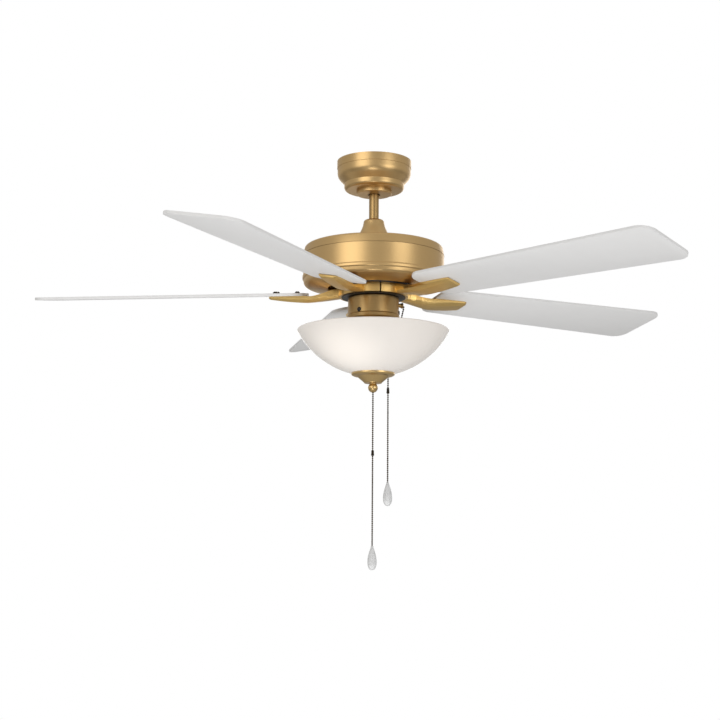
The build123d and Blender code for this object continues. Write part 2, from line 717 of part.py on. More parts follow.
def make_glass_bowl():
    """Opal glass bowl, 4 mm thick, with a rounded rim and two holes in its bottom."""
    inner_r = BOWL_SPHERE_R - GLASS
    edge_z = BOWL_RIM_Z - 2.6
    outer_edge = (sphere_radius(edge_z, BOWL_SPHERE_R), edge_z)
    inner_edge = (sphere_radius(edge_z, inner_r), edge_z)
    middle = ((outer_edge[0] + inner_edge[0]) / 2, BOWL_RIM_Z)
    halfway = 100.0
    outer = ThreePointArc((BOWL_HOLE_R, sphere_z(BOWL_HOLE_R, BOWL_SPHERE_R)),
                          (halfway, sphere_z(halfway, BOWL_SPHERE_R)), outer_edge)
    inner = ThreePointArc((BOWL_HOLE_R, sphere_z(BOWL_HOLE_R, inner_r)),
                          (halfway, sphere_z(halfway, inner_r)), inner_edge)
    rim = ThreePointArc(outer_edge, middle, inner_edge)
    hole = Line((BOWL_HOLE_R, sphere_z(BOWL_HOLE_R, BOWL_SPHERE_R)), (BOWL_HOLE_R, sphere_z(BOWL_HOLE_R, inner_r)))
    bowl = turned(outer, rim, inner, hole)
    hole_at = fan_chain_point(-416.0)
    bowl -= rod(5.0, -430, -400, hole_at.X, hole_at.Y)
    return bowl


def make_glass_washer():
    """Rubber washer between the glass and the cap."""
    low = sphere_z(BOWL_HOLE_R, BOWL_SPHERE_R)
    return tube(17.0, PIPE_R + 0.1, low - 3.0, low - 0.1)


def make_fitter_cap():
    """Turned brass cap under the glass: a broad lip, a cove and a cone."""
    top_in = sphere_z(BOWL_HOLE_R, BOWL_SPHERE_R) - 3.2
    wall = 2.0
    outer = rounded_line([(CAP_R, CAP_TOP_Z), (CAP_R, CAP_TOP_Z - 3.2), (38.4, -423.0), (30.6, -424.6),
                          (17.4, -435.8), (16.8, CAP_BOTTOM_Z)], [1.4, 3.0, 3.0, 1.2])
    floor = Polyline((16.8, CAP_BOTTOM_Z), (PIPE_R + 0.1, CAP_BOTTOM_Z), (PIPE_R + 0.1, top_in),
                     (24.0, top_in), (24.0 + wall, CAP_TOP_Z - 4.4), (CAP_R - wall, CAP_TOP_Z - 1.6),
                     (CAP_R, CAP_TOP_Z))
    cap = turned(*outer, *floor.edges())
    cap -= rod(4.4, -430, -405, FAN_EXIT[0] - 0.5, FAN_EXIT[1])
    return cap


def make_finial():
    """Ball finial; the light's chain hangs out of its bottom."""
    ball = Pos(0, 0, FINIAL_Z) * Sphere(FINIAL_R)
    ball += tube(6.4, 0, FINIAL_Z, CAP_BOTTOM_Z - 0.1)
    ball -= tube(PIPE_R + 0.05, 0, CAP_BOTTOM_Z - 2.4, CAP_BOTTOM_Z + 5)
    ball -= tube(PIPE_BORE_R, 0, -470, -430)
    mouth = Pos(0, 0, FINIAL_MOUTH_Z - 0.6) * Sphere(4.2)
    return ball - mouth


# ---- pull chains ---------------------------------------------------------------------
def fan_chain_point(height):
    """The point of the slanting chain at a height; its line ends at FAN_EXIT."""
    exit_point = Vector(*FAN_EXIT)
    step = (fan_chain_start() - exit_point) * (1 / (fan_chain_start().Z - exit_point.Z))
    return exit_point + step * (height - exit_point.Z)


def fan_chain_start():
    """Where the chain turns down over the ferrule's lip."""
    angle = math.radians(PORT_ANGLE)
    reach = PORT_END_R + 3.4
    return Vector(reach * math.cos(angle), reach * math.sin(angle), PORT_Z - 1.0)


def chain_tube(path, start, direction):
    """A plain round tube along a path, standing for a bead chain."""
    section = Plane(origin=start, z_dir=direction) * Circle(CHAIN_R)
    return sweep(section, path=path)


def make_fan_chain_stub():
    """The bend of chain that lies over the ferrule's lip and doesn't leave it."""
    angle = math.radians(PORT_ANGLE)
    begin = Vector(50.0 * math.cos(angle), 50.0 * math.sin(angle), PORT_Z)
    corner = fan_chain_start()
    end = fan_chain_point(corner.Z - FAN_CHAIN_STUB_DROP)
    path = FilletPolyline(begin, corner, end, radius=4.0)
    return chain_tube(path, begin, corner - begin)


def make_fan_chain_inner():
    """Straight slanting stretch from the ferrule down through the bowl to the cap."""
    start = fan_chain_point(fan_chain_start().Z - FAN_CHAIN_STUB_DROP - 0.5)
    end = fan_chain_point(FAN_EXIT[2] + 0.4)
    return chain_tube(Line(start, end), start, end - start)


def make_connector(x, y, middle_z):
    """Barrel coupling that joins two lengths of bead chain."""
    body = tube(CONNECTOR_R, 0, middle_z - CONNECTOR_LENGTH / 2, middle_z + CONNECTOR_LENGTH / 2)
    body = fillet(body.edges().filter_by(GeomType.CIRCLE), 1.0)
    body -= tube(CHAIN_R + FIT, 0, middle_z - 20, middle_z + 20)
    return Pos(x, y, 0) * body


def make_pendant(x, y, top_z):
    """Drop-shaped pull at the end of a chain."""
    side = Spline((3.2, top_z - 4), (6.0, top_z - 13), (PENDANT_R, top_z - 30), (6.4, top_z - 42.5),
                  (0, top_z - PENDANT_LENGTH), tangents=[(0.2, -1), (-1, 0)])
    top = Polyline((0, top_z), (2.6, top_z), (3.2, top_z - 4))
    drop = turned(*top.edges(), side, Line((0, top_z - PENDANT_LENGTH), (0, top_z)))
    return Pos(x, y, 0) * drop


# ---- build -------------------------------------------------------------------------
os.makedirs("parts", exist_ok=True)

save("hanger_bracket", make_hanger_bracket())
save("canopy", make_canopy())
save("canopy_screws", *make_canopy_screws())
save("canopy_cover_ring", make_canopy_cover_ring())

save("hanger_ball", make_hanger_ball())
save("ball_cross_pin", make_ball_cross_pin())
save("downrod", make_downrod())
save("coupling_cover", make_coupling_cover())
save("motor_coupling", make_motor_coupling())
save("clevis_pin", make_clevis_pin())

save("motor_shaft", make_motor_shaft())
save("stator_core", make_stator_core())
save("stator_windings", *make_stator_windings())
save("rotor_cage", make_rotor_cage())
save("rotor_top_bell", make_rotor_top_bell())
save("rotor_bottom_bell", make_rotor_bottom_bell())
save("upper_bearing", make_bearing(UPPER_BEARING_Z))
save("lower_bearing", make_bearing(LOWER_BEARING_Z))
save("housing_top_cover", make_housing_top_cover())
save("housing_band", make_housing_band())
save("housing_lower_cover", make_housing_lower_cover())

arm_along_x = make_blade_arm()
blade_along_x = make_blade()
for number in range(1, BLADE_COUNT + 1):
    blade_angle = FIRST_BLADE_ANGLE + (number - 1) * 360 / BLADE_COUNT
    save(f"blade_arm_{number}", around(blade_angle, arm_along_x))
    save(f"blade_{number}", around(blade_angle, blade_along_x))
save("blade_screws", *make_blade_screws())
save("arm_screws", *make_arm_screws())

save("mounting_disc", make_mounting_disc())
save("shaft_nut", make_shaft_nut())
save("switch_housing", make_switch_housing())
save("chain_port", make_chain_port())
save("speed_switch", make_speed_switch())
save("reverse_switch_body", make_reverse_switch_body())
save("reverse_slider", make_reverse_slider())
save("run_capacitor", make_run_capacitor())

save("light_kit_pan", make_light_kit_pan())
save("light_kit_screws", *make_light_kit_screws())
save("lamp_sockets", *make_lamp_sockets())
save("bulbs", *make_bulbs())
save("light_pull_switch", make_light_pull_switch())
save("centre_pipe", make_centre_pipe())
save("glass_bowl", make_glass_bowl())
save("glass_washer", make_glass_washer())
save("fitter_cap", make_fitter_cap())
save("finial", make_finial())

save("light_chain_inner", rod(CHAIN_R, FINIAL_MOUTH_Z + 0.4, LIGHT_CHAIN_TOP_Z))
save("light_chain", rod(CHAIN_R, LIGHT_PENDANT_Z, FINIAL_MOUTH_Z - CHAIN_JOINT_GAP))
save("light_chain_connector", make_connector(0, 0, LIGHT_CONNECTOR_Z))
save("light_pendant", make_pendant(0, 0, LIGHT_PENDANT_Z))
fan_x, fan_y, fan_exit_z = FAN_EXIT
save("fan_chain_stub", make_fan_chain_stub())
save("fan_chain_inner", make_fan_chain_inner())
save("fan_chain", rod(CHAIN_R, FAN_PENDANT_Z, fan_exit_z - CHAIN_JOINT_GAP, fan_x, fan_y))
save("fan_chain_connector", make_connector(fan_x, fan_y, FAN_CONNECTOR_Z))
save("fan_pendant", make_pendant(fan_x, fan_y, FAN_PENDANT_Z))
print("nodes", len(os.listdir("parts")))
print("downrod to ceiling", ROD_TOP_Z, "blade sweep", 2 * BLADE_TIP_U)
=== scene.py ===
# %% [markdown]
# # A ceiling fan with a bowl light
# The fan is already modelled as a mechanical part. This lesson dresses that frame:
# every visible piece is rebuilt with fine edges and given a finish, and each one rides
# on the body that carries it, so that it turns or swings with the machine.

import json
import math

import bmesh
import bpy
from mathutils import Matrix, Vector


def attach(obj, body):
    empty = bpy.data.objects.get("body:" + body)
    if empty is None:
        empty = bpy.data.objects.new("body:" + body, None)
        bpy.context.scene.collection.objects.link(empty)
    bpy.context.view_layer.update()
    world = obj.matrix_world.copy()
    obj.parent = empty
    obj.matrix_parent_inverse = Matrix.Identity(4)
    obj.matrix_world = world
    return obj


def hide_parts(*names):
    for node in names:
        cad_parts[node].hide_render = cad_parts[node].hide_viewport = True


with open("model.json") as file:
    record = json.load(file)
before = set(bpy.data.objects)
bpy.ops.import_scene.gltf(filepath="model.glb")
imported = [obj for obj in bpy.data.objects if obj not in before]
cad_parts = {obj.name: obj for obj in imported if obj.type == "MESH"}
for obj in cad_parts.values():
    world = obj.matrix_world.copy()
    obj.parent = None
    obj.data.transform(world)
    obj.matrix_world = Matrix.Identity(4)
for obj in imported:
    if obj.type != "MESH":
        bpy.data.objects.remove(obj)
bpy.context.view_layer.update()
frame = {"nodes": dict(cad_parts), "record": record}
MM = 0.001
BLADE_COUNT = 5
FIRST_BLADE_ANGLE = 173.5
print("nodes in the frame:", len(frame["nodes"]))

# %% [markdown]
# ## Shader groups
# Two effects are used by many finishes, so each is a node group with named inputs.
# *Spun grain* gives the fine rings that a lathe leaves round the fan's axis: noise is
# looked up by distance from the axis and by height, so it hardly changes on the way
# round. *Uneven surface* is plain soft noise. Both return a mask and a normal; the
# Principled shader itself stays in each material.


# %% A helper for shader groups
def new_group(name, inputs, outputs):
    """An empty shader group with named float inputs and named outputs."""
    tree = bpy.data.node_groups.new(name, "ShaderNodeTree")
    for label, value in inputs:
        socket = tree.interface.new_socket(label, in_out="INPUT", socket_type="NodeSocketFloat")
        socket.default_value = value
    for label, kind in outputs:
        tree.interface.new_socket(label, in_out="OUTPUT", socket_type=kind)
    return tree, tree.nodes.new("NodeGroupInput"), tree.nodes.new("NodeGroupOutput")


def add(tree, kind, **settings):
    """A node with its properties set."""
    node = tree.nodes.new(kind)
    for key, value in settings.items():
        setattr(node, key, value)
    return node


# %% Group: spun grain
def make_spun_grain():
    tree, start, end = new_group(
        "spun_grain",
        [("Rings per metre", 2600.0), ("Depth", 0.12)],
        [("Mask", "NodeSocketFloat"), ("Normal", "NodeSocketVector")],
    )
    link = tree.links.new
    place = add(tree, "ShaderNodeTexCoord")
    split = add(tree, "ShaderNodeSeparateXYZ")
    flat = add(tree, "ShaderNodeCombineXYZ")
    distance = add(tree, "ShaderNodeVectorMath", operation="LENGTH")
    rings = add(tree, "ShaderNodeCombineXYZ")
    scaled = add(tree, "ShaderNodeVectorMath", operation="SCALE")
    noise = add(tree, "ShaderNodeTexNoise")
    noise.inputs["Scale"].default_value = 1.0
    noise.inputs["Detail"].default_value = 3.0
    bump = add(tree, "ShaderNodeBump")
    bump.inputs["Distance"].default_value = 0.00004
    link(place.outputs["Object"], split.inputs[0])
    link(split.outputs["X"], flat.inputs["X"])
    link(split.outputs["Y"], flat.inputs["Y"])
    link(flat.outputs[0], distance.inputs[0])
    link(distance.outputs["Value"], rings.inputs["X"])
    link(split.outputs["Z"], rings.inputs["Y"])
    link(rings.outputs[0], scaled.inputs[0])
    link(start.outputs["Rings per metre"], scaled.inputs["Scale"])
    link(scaled.outputs[0], noise.inputs["Vector"])
    link(noise.outputs["Fac"], bump.inputs["Height"])
    link(start.outputs["Depth"], bump.inputs["Strength"])
    link(noise.outputs["Fac"], end.inputs["Mask"])
    link(bump.outputs["Normal"], end.inputs["Normal"])
    return tree


# %% Group: uneven surface
def make_uneven():
    tree, start, end = new_group(
        "uneven_surface",
        [("Scale", 60.0), ("Depth", 0.1)],
        [("Mask", "NodeSocketFloat"), ("Normal", "NodeSocketVector")],
    )
    link = tree.links.new
    place = add(tree, "ShaderNodeTexCoord")
    noise = add(tree, "ShaderNodeTexNoise")
    noise.inputs["Detail"].default_value = 5.0
    bump = add(tree, "ShaderNodeBump")
    bump.inputs["Distance"].default_value = 0.0002
    link(place.outputs["Object"], noise.inputs["Vector"])
    link(start.outputs["Scale"], noise.inputs["Scale"])
    link(noise.outputs["Fac"], bump.inputs["Height"])
    link(start.outputs["Depth"], bump.inputs["Strength"])
    link(noise.outputs["Fac"], end.inputs["Mask"])
    link(bump.outputs["Normal"], end.inputs["Normal"])
    return tree


GROUPS = {"spun": make_spun_grain(), "uneven": make_uneven()}

# %% [markdown]
# ## Finishes
# Every finish is one Principled shader. Its colour moves between two close tones and its
# roughness between two values, both by a group's mask, so that no surface is flat. There
# are three turned brass finishes: satin on the canopy and drum, a darker copy of it on the
# downrod, switch housing, pan and ferrule, which is painted shade, and a brighter copy on
# the cap and finial, which is a painted highlight.


# %% A helper for finishes
FINISHES = {}


def finish(name, tones, rough, metallic=0.0, group="uneven", sizes=(60.0, 0.1), **extra):
    """A Principled material driven by one of the groups."""
    material = bpy.data.materials.new(name)
    material.use_nodes = True
    tree = material.node_tree
    shader = tree.nodes["Principled BSDF"]
    texture = add(tree, "ShaderNodeGroup", node_tree=GROUPS[group])
    for socket, value in zip(texture.inputs, sizes):
        socket.default_value = value
    colour = add(tree, "ShaderNodeMix", data_type="RGBA")
    colour.inputs["A"].default_value = (*tones[0], 1)
    colour.inputs["B"].default_value = (*tones[1], 1)
    roughness = add(tree, "ShaderNodeMapRange")
    roughness.inputs["To Min"].default_value = rough[0]
    roughness.inputs["To Max"].default_value = rough[1]
    tree.links.new(texture.outputs["Mask"], colour.inputs["Factor"])
    tree.links.new(texture.outputs["Mask"], roughness.inputs["Value"])
    tree.links.new(texture.outputs["Normal"], shader.inputs["Normal"])
    tree.links.new(colour.outputs["Result"], shader.inputs["Base Color"])
    tree.links.new(roughness.outputs["Result"], shader.inputs["Roughness"])
    shader.inputs["Metallic"].default_value = metallic
    for socket, value in extra.items():
        shader.inputs[socket.replace("_", " ")].default_value = value
    FINISHES[name] = material
    return material


# %% The finishes
finish("satin_brass", [(0.62, 0.42, 0.185), (0.70, 0.475, 0.22)], (0.30, 0.42), 1.0, "spun", (2600.0, 0.10))
# Painted shade: a darker copy of the satin brass, for the shade on the downrod, switch housing, pan and
# ferrule.
finish("painted_shade_brass", [(0.42, 0.275, 0.115), (0.50, 0.33, 0.14)], (0.30, 0.42), 1.0, "spun", (2600.0, 0.10))
# Painted highlight: a brighter copy of the satin brass on the cap and finial, with a lower roughness.
finish("painted_highlight_brass", [(0.70, 0.49, 0.215), (0.78, 0.55, 0.25)], (0.27, 0.35), 1.0, "uneven", (90.0, 0.04))
finish("gold_casting", [(0.80, 0.55, 0.20), (0.88, 0.61, 0.24)], (0.28, 0.40), 1.0, "uneven", (180.0, 0.12))
finish("white_blade", [(0.77, 0.77, 0.772), (0.80, 0.80, 0.801)], (0.42, 0.52), sizes=(35.0, 0.05))
finish(
    "opal_glass", [(0.72, 0.685, 0.655), (0.75, 0.715, 0.685)], (0.16, 0.22), sizes=(20.0, 0.02),
    Subsurface_Weight=0.4, Subsurface_Scale=0.01, Subsurface_Radius=(1.0, 0.95, 0.9), Coat_Weight=0.3,
)
finish("lamp_glass", [(0.90, 0.89, 0.86), (0.93, 0.92, 0.89)], (0.2, 0.3))
finish("black_steel", [(0.012, 0.012, 0.012), (0.02, 0.02, 0.02)], (0.35, 0.5), sizes=(90.0, 0.1))
finish("dark_screw", [(0.035, 0.022, 0.014), (0.06, 0.04, 0.026)], (0.25, 0.4), 0.8)
finish("plain_steel", [(0.50, 0.51, 0.53), (0.60, 0.61, 0.63)], (0.25, 0.42), 1.0, sizes=(140.0, 0.1))
finish("cast_metal", [(0.24, 0.24, 0.25), (0.33, 0.33, 0.34)], (0.5, 0.7), 0.9, sizes=(220.0, 0.3))
finish("copper_wire", [(0.45, 0.16, 0.06), (0.60, 0.24, 0.10)], (0.3, 0.45), 1.0, "spun", (1400.0, 0.6))
finish("black_plastic", [(0.02, 0.02, 0.022), (0.035, 0.035, 0.037)], (0.4, 0.55), sizes=(150.0, 0.15))
finish("white_ceramic", [(0.74, 0.72, 0.67), (0.80, 0.78, 0.74)], (0.18, 0.3))
finish("rubber", [(0.02, 0.02, 0.02), (0.03, 0.03, 0.03)], (0.6, 0.8), sizes=(200.0, 0.2))
finish("bead_chain", [(0.06, 0.045, 0.028), (0.11, 0.08, 0.045)], (0.22, 0.34), 1.0, sizes=(400.0, 0.1))
finish("chain_fitting", [(0.02, 0.015, 0.010), (0.04, 0.03, 0.018)], (0.28, 0.4), 1.0)
finish(
    "frosted_acrylic", [(0.80, 0.81, 0.82), (0.88, 0.885, 0.89)], (0.18, 0.30), sizes=(80.0, 0.1),
    Transmission_Weight=0.35, IOR=1.45,
)
print("finishes:", len(FINISHES))

# %% [markdown]
# ## A lathe
# Canopy, coupling cover, motor housing, pan, cap and finial are all turned on the fan's
# axis. A Screw modifier could turn a curve, but a direct mesh is as short and keeps
# every vertex on the true circle. The profile is a line of corner points with a radius
# at each corner, like a drawing on paper, and a sheet's inner face is the same line
# moved sideways by the metal's thickness.

# %% Rounded lines
ARC_STEP = math.radians(9)


def rounded(points, radii):
    """Points of a line whose inner corners are rounded by arcs."""
    out = [Vector(points[0])]
    for index, radius in enumerate(radii):
        corner = Vector(points[index + 1])
        back = Vector(points[index]) - corner
        ahead = Vector(points[index + 2]) - corner
        turn = math.pi - back.angle(ahead)
        reach = min(radius * math.tan(turn / 2), 0.48 * back.length, 0.48 * ahead.length)
        start = corner + back.normalized() * reach
        finish_at = corner + ahead.normalized() * reach
        bisector = (back.normalized() + ahead.normalized()).normalized()
        true_radius = reach / math.tan(turn / 2)
        centre = corner + bisector * math.hypot(true_radius, reach)
        steps = max(2, math.ceil(turn / ARC_STEP))
        first, last = start - centre, finish_at - centre
        sweep = first.angle_signed(last)
        for step in range(steps + 1):
            angle = -sweep * step / steps
            spin = Matrix.Rotation(angle, 2)
            out.append(centre + spin @ first)
    out.append(Vector(points[-1]))
    return out


def moved_sideways(points, distance):
    """The corner points of a line moved to its left."""
    result = []
    for index, point in enumerate(points):
        normals = []
        for a, b in ((index - 1, index), (index, index + 1)):
            if a >= 0 and b < len(points):
                step = (Vector(points[b]) - Vector(points[a])).normalized()
                normals.append(Vector((-step.y, step.x)))
        total = sum(normals, Vector((0, 0)))
        spread = len(normals) if len(normals) == 1 else 1 + normals[0].dot(normals[1])
        result.append(Vector(point) + total * (distance / spread))
    return result


def sheet_profile(points, radii, thickness):
    """A closed profile of bent sheet metal, with softened cut edges."""
    inner_radii = []
    for index, radius in enumerate(radii):
        first = Vector(points[index + 1]) - Vector(points[index])
        second = Vector(points[index + 2]) - Vector(points[index + 1])
        left = first.x * second.y - first.y * second.x > 0
        inner_radii.append(max(radius + (-thickness if left else thickness), 0.15))
    outer = rounded(points, radii)
    inner = rounded(moved_sideways(points, thickness), inner_radii)
    return outer + inner[::-1]


# %% The lathe itself
SEGMENTS = 160
SHARP_ANGLE = math.radians(38)


def mesh_object(name, vertices, faces, material):
    """A smooth-shaded mesh object at the origin."""
    mesh = bpy.data.meshes.new(name)
    mesh.from_pydata(vertices, [], faces)
    mesh.validate()
    shell = bmesh.new()
    shell.from_mesh(mesh)
    bmesh.ops.remove_doubles(shell, verts=shell.verts, dist=1e-7)
    bmesh.ops.recalc_face_normals(shell, faces=shell.faces)
    shell.to_mesh(mesh)
    shell.free()
    mesh.shade_smooth()
    mesh.set_sharp_from_angle(angle=SHARP_ANGLE)
    mesh.materials.append(FINISHES[material])
    obj = bpy.data.objects.new(name, mesh)
    bpy.context.scene.collection.objects.link(obj)
    return obj


def turned(name, profile, material, segments=SEGMENTS, wave=None):
    """Turn a closed profile, in millimetres, about Z. wave may vary the radius round the axis."""
    vertices, faces = [], []
    count = len(profile)
    for segment in range(segments):
        angle = 2 * math.pi * segment / segments
        for point in profile:
            radius = point[0] if wave is None else point[0] * wave(angle, point[1])
            vertices.append((radius * math.cos(angle) * MM, radius * math.sin(angle) * MM, point[1] * MM))
    for segment in range(segments):
        here, there = segment * count, ((segment + 1) % segments) * count
        for index in range(count):
            after = (index + 1) % count
            faces.append((here + index, there + index, there + after, here + after))
    return mesh_object(name, vertices, faces, material)


def placed(obj, matrix):
    """Bake a move into the mesh, so that the object stays at the origin."""
    obj.data.transform(matrix)
    return obj


def dress(obj, body, slot_name, *nodes):
    """Put a finished piece on its body, in place of CAD nodes."""
    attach(obj, body)
    if nodes:
        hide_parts(*nodes)
    return obj


def evaluated(obj):
    """The object's mesh with its modifiers applied."""
    bpy.context.view_layer.update()
    graph = bpy.context.evaluated_depsgraph_get()
    mesh = bpy.data.meshes.new_from_object(obj.evaluated_get(graph))
    obj.modifiers.clear()
    obj.data = mesh
    return obj


def grown(obj, tree, values):
    """The plain mesh that a Geometry Nodes tree makes from an object."""
    step = obj.modifiers.new(tree.name, "NODES")
    step.node_group = tree
    for item in tree.interface.items_tree:
        if item.in_out == "INPUT" and item.name in values:
            step[item.identifier] = values[item.name]
    bpy.context.view_layer.update()
    graph = bpy.context.evaluated_depsgraph_get()
    mesh = bpy.data.meshes.new_from_object(obj.evaluated_get(graph))
    obj.modifiers.clear()
    return mesh


def cut_away(obj, *cutters):
    """Subtract cutter objects from a piece and delete them."""
    for cutter in cutters:
        step = obj.modifiers.new("cut", "BOOLEAN")
        step.operation = "DIFFERENCE"
        step.solver = "EXACT"
        step.object = cutter
    evaluated(obj)
    obj.data.set_sharp_from_angle(angle=SHARP_ANGLE)
    for cutter in cutters:
        bpy.data.objects.remove(cutter)
    return obj


# %% [markdown]
# ## Canopy and cover ring
# The canopy is spun from one disc of brass: a straight band with a fine groove under it,
# a rounded belly, then a smaller tier. The ring under it hides two screws. Both are
# sheets, so the open top shows a real wall when the fan is seen from above.

# %% Canopy
CANOPY_R = 72.3
SHEET = 1.5
canopy_line = [
    (13.5, -58.4),
    (58.2, -58.4),
    (58.2, -45.4),
    (CANOPY_R - 0.8, -31.2),
    (CANOPY_R - 0.8, -15.4),
    (CANOPY_R, -15.0),
    (CANOPY_R, 0.0),
]
canopy_radii = [10.5, 0.4, 24.0, 0.2, 0.2]
canopy = turned("canopy_shell", sheet_profile(canopy_line, canopy_radii, SHEET), "satin_brass")
dress(canopy, "hanger", "satin_brass", "canopy")
ring_line = [(12.0, -66.4), (34.2, -66.4), (34.2, -58.5)]
cover_ring = turned("cover_ring", sheet_profile(ring_line, [1.8], 1.3), "satin_brass")
dress(cover_ring, "hanger", "satin_brass", "canopy_cover_ring")
print("canopy", len(canopy.data.polygons), "faces")

# %% [markdown]
# ## Downrod and coupling cover
# The downrod is a plain 3/4 inch tube. The coupling cover is a flared cup that slides
# on it and hides the pinned joint above the motor.

# %% Downrod and coupling cover
ROD_R, ROD_BORE_R = 9.55, 7.6
ROD_TOP, ROD_BOTTOM, ROD_CHAMFER = -16.0, -149.0, 0.4
rod_profile = [
    (ROD_BORE_R, ROD_TOP),
    (ROD_R - ROD_CHAMFER, ROD_TOP),
    (ROD_R, ROD_TOP - ROD_CHAMFER),
    (ROD_R, ROD_BOTTOM),
    (ROD_BORE_R, ROD_BOTTOM),
]
# The downrod's darker brass is painted shade.
downrod = turned("downrod_tube", rod_profile, "painted_shade_brass", 64)
dress(downrod, "fan_body", "satin_brass", "downrod")
coupling_line = [(31.0, -152.9), (27.6, -144.0), (21.2, -129.7), (19.3, -117.0), (ROD_R + 0.5, -117.0)]
coupling = turned("coupling_cup", sheet_profile(coupling_line, [40.0, 40.0, 6.5], 1.4), "satin_brass", 96)
dress(coupling, "fan_body", "satin_brass", "coupling_cover")

# %% [markdown]
# ## Motor housing
# Three spun pieces make the drum: a shallow dome rolled down over a rounded shoulder, a
# straight band with a rolled bead at its foot, and a pan below with a wide opening for
# the blade arms. The thin dark seams between them are real gaps.

# %% Motor housing
HOUSING_R, TOP_COVER_R, LOWER_OPENING_R = 136.1, 136.6, 88.0
top_line = [(TOP_COVER_R, -190.3), (133.6, -173.4), (116.0, -170.6), (36.0, -153.8), (15.0, -153.8)]
band_line = [
    (HOUSING_R + 0.3, -237.4),
    (HOUSING_R + 1.5, -235.6),
    (HOUSING_R + 1.5, -231.0),
    (HOUSING_R, -229.2),
    (HOUSING_R, -190.8),
]
lower_line = [
    (LOWER_OPENING_R, -249.4),
    (LOWER_OPENING_R, -254.9),
    (110.6, -251.9),
    (134.4, -247.2),
    (HOUSING_R - 0.3, -237.5),
]
for name, line, radii in (
    ("housing_top_cover", top_line, [5.0, 60.0, 12.0]),
    ("housing_band", band_line, [1.0, 1.0, 1.0]),
    ("housing_lower_cover", lower_line, [2.0, 60.0, 11.0]),
):
    shell = turned(name + "_shell", sheet_profile(line, radii, SHEET), "satin_brass")
    dress(shell, "fan_body", "satin_brass", name)

# %% [markdown]
# ## Blades
# Each blade is a flat tapered board with rounded corners and softened edges. One mesh is
# made along +X, pitched about its own middle line, and copied round the axis; every copy
# is its own object because each blade is its own part.

# %% One blade
BLADE_PITCH = math.radians(10.9)
BLADE_PLANE_Z = -262.0
BLADE_THICKNESS = 5.4
EDGE = 0.9


def blade_outline(inset):
    """The blade's edge line, moved in by inset millimetres."""
    root, tip = 131.0 + inset, 658.6 - inset
    root_half, tip_half = 55.0 - inset, 73.5 - inset
    corners = [
        (root, 0), (root, -root_half), (tip, -tip_half),
        (tip, tip_half), (root, root_half), (root, 0),
    ]
    return rounded(corners, [38.0 - inset, 26.0 - inset, 26.0 - inset, 38.0 - inset])


def along_blade(matrix_angle):
    """Places a piece drawn about a blade's plane, along +X, at one blade's angle."""
    turn = Matrix.Rotation(math.radians(matrix_angle), 4, "Z")
    lift = Matrix.Translation((0, 0, BLADE_PLANE_Z * MM))
    return turn @ lift @ Matrix.Rotation(-BLADE_PITCH, 4, "X")


def make_blade(name):
    half = BLADE_THICKNESS / 2
    layers = [(EDGE, -half), (EDGE * 0.3, -half + EDGE * 0.3), (0, -half + EDGE)]
    layers += [(inset, -height) for inset, height in layers[::-1]]
    vertices, faces = [], []
    for inset, height in layers:
        for point in blade_outline(inset)[:-1]:
            vertices.append((point.x * MM, point.y * MM, height * MM))
    count = len(vertices) // len(layers)
    for layer in range(len(layers) - 1):
        for index in range(count):
            after = (index + 1) % count
            low, high = layer * count, (layer + 1) * count
            faces.append((low + index, low + after, high + after, high + index))
    faces.append(tuple(range(count))[::-1])
    faces.append(tuple(range((len(layers) - 1) * count, len(layers) * count)))
    return mesh_object(name, vertices, faces, "white_blade")


blade_angles = [FIRST_BLADE_ANGLE + 360 / BLADE_COUNT * index for index in range(BLADE_COUNT)]
for number, angle in enumerate(blade_angles, 1):
    board = placed(make_blade(f"blade_board_{number}"), along_blade(angle))
    dress(board, "rotor", "white_blade", f"blade_{number}")
reach = max(math.hypot(v.co.x, v.co.y) for v in board.data.vertices)
print("blades", BLADE_COUNT, "sweep", round(2 * reach, 4), "m")

# %% [markdown]
# ## Blade arms
# The arms are castings: a sector of the hub ring, a neck that dips below the housing and
# a flat seat under the blade. The neck is a loft: a few six-sided sections are given, a
# smooth curve runs through each corner, and the mesh follows it, so the creases between
# the facets stay crisp while the neck bends softly. The ring sector is joined on by a
# boolean, and a narrow bevel on every sharp edge catches the light as a cast edge does.

# %% Sections of the neck
ARM_RING_TOP, ARM_RING_BOTTOM = -252.4, -270.4
ARM_RING_R, ARM_RING_INNER_R = 67.0, 44.0
ARM_GAP = 2.7
SEAT_Z = BLADE_PLANE_Z - BLADE_THICKNESS / 2 - 0.1
arm_stations = [
    # along, top, bottom, half width, bevel width, bevel height, share of the blade's pitch
    (60.0, ARM_RING_TOP - 0.6, ARM_RING_BOTTOM + 0.5, 10.8, 2.0, 3.0, 0.0),
    (68.0, ARM_RING_TOP - 1.2, -271.2, 11.0, 2.0, 4.0, 0.0),
    (80.0, -255.6, -272.9, 11.6, 2.4, 6.0, 0.14),
    (98.0, -261.4, -275.4, 13.2, 3.0, 7.0, 0.5),
    (118.0, SEAT_Z - 0.4, -277.8, 15.4, 3.6, 7.0, 0.94),
    (134.0, SEAT_Z, -278.2, 16.8, 4.0, 7.0, 1.0),
    (166.0, SEAT_Z, -275.6, 18.0, 4.4, 5.6, 1.0),
    (198.0, SEAT_Z, -271.4, 18.4, 4.6, 3.4, 1.0),
]
ARM_END = (202.0, SEAT_Z - 0.8, -269.8, 16.8, 4.6, 2.2, 1.0)


def curve_through(values, position):
    """A smooth value between stations: a Catmull-Rom curve."""
    index = min(int(position), len(values) - 2)
    t = position - index
    before, here = values[max(index - 1, 0)], values[index]
    there, after = values[index + 1], values[min(index + 2, len(values) - 1)]
    slope_here, slope_there = (there - before) / 2, (after - here) / 2
    t2, t3 = t * t, t * t * t
    ends = (2 * t3 - 3 * t2 + 1) * here + (3 * t2 - 2 * t3) * there
    return ends + (t3 - 2 * t2 + t) * slope_here + (t3 - t2) * slope_there


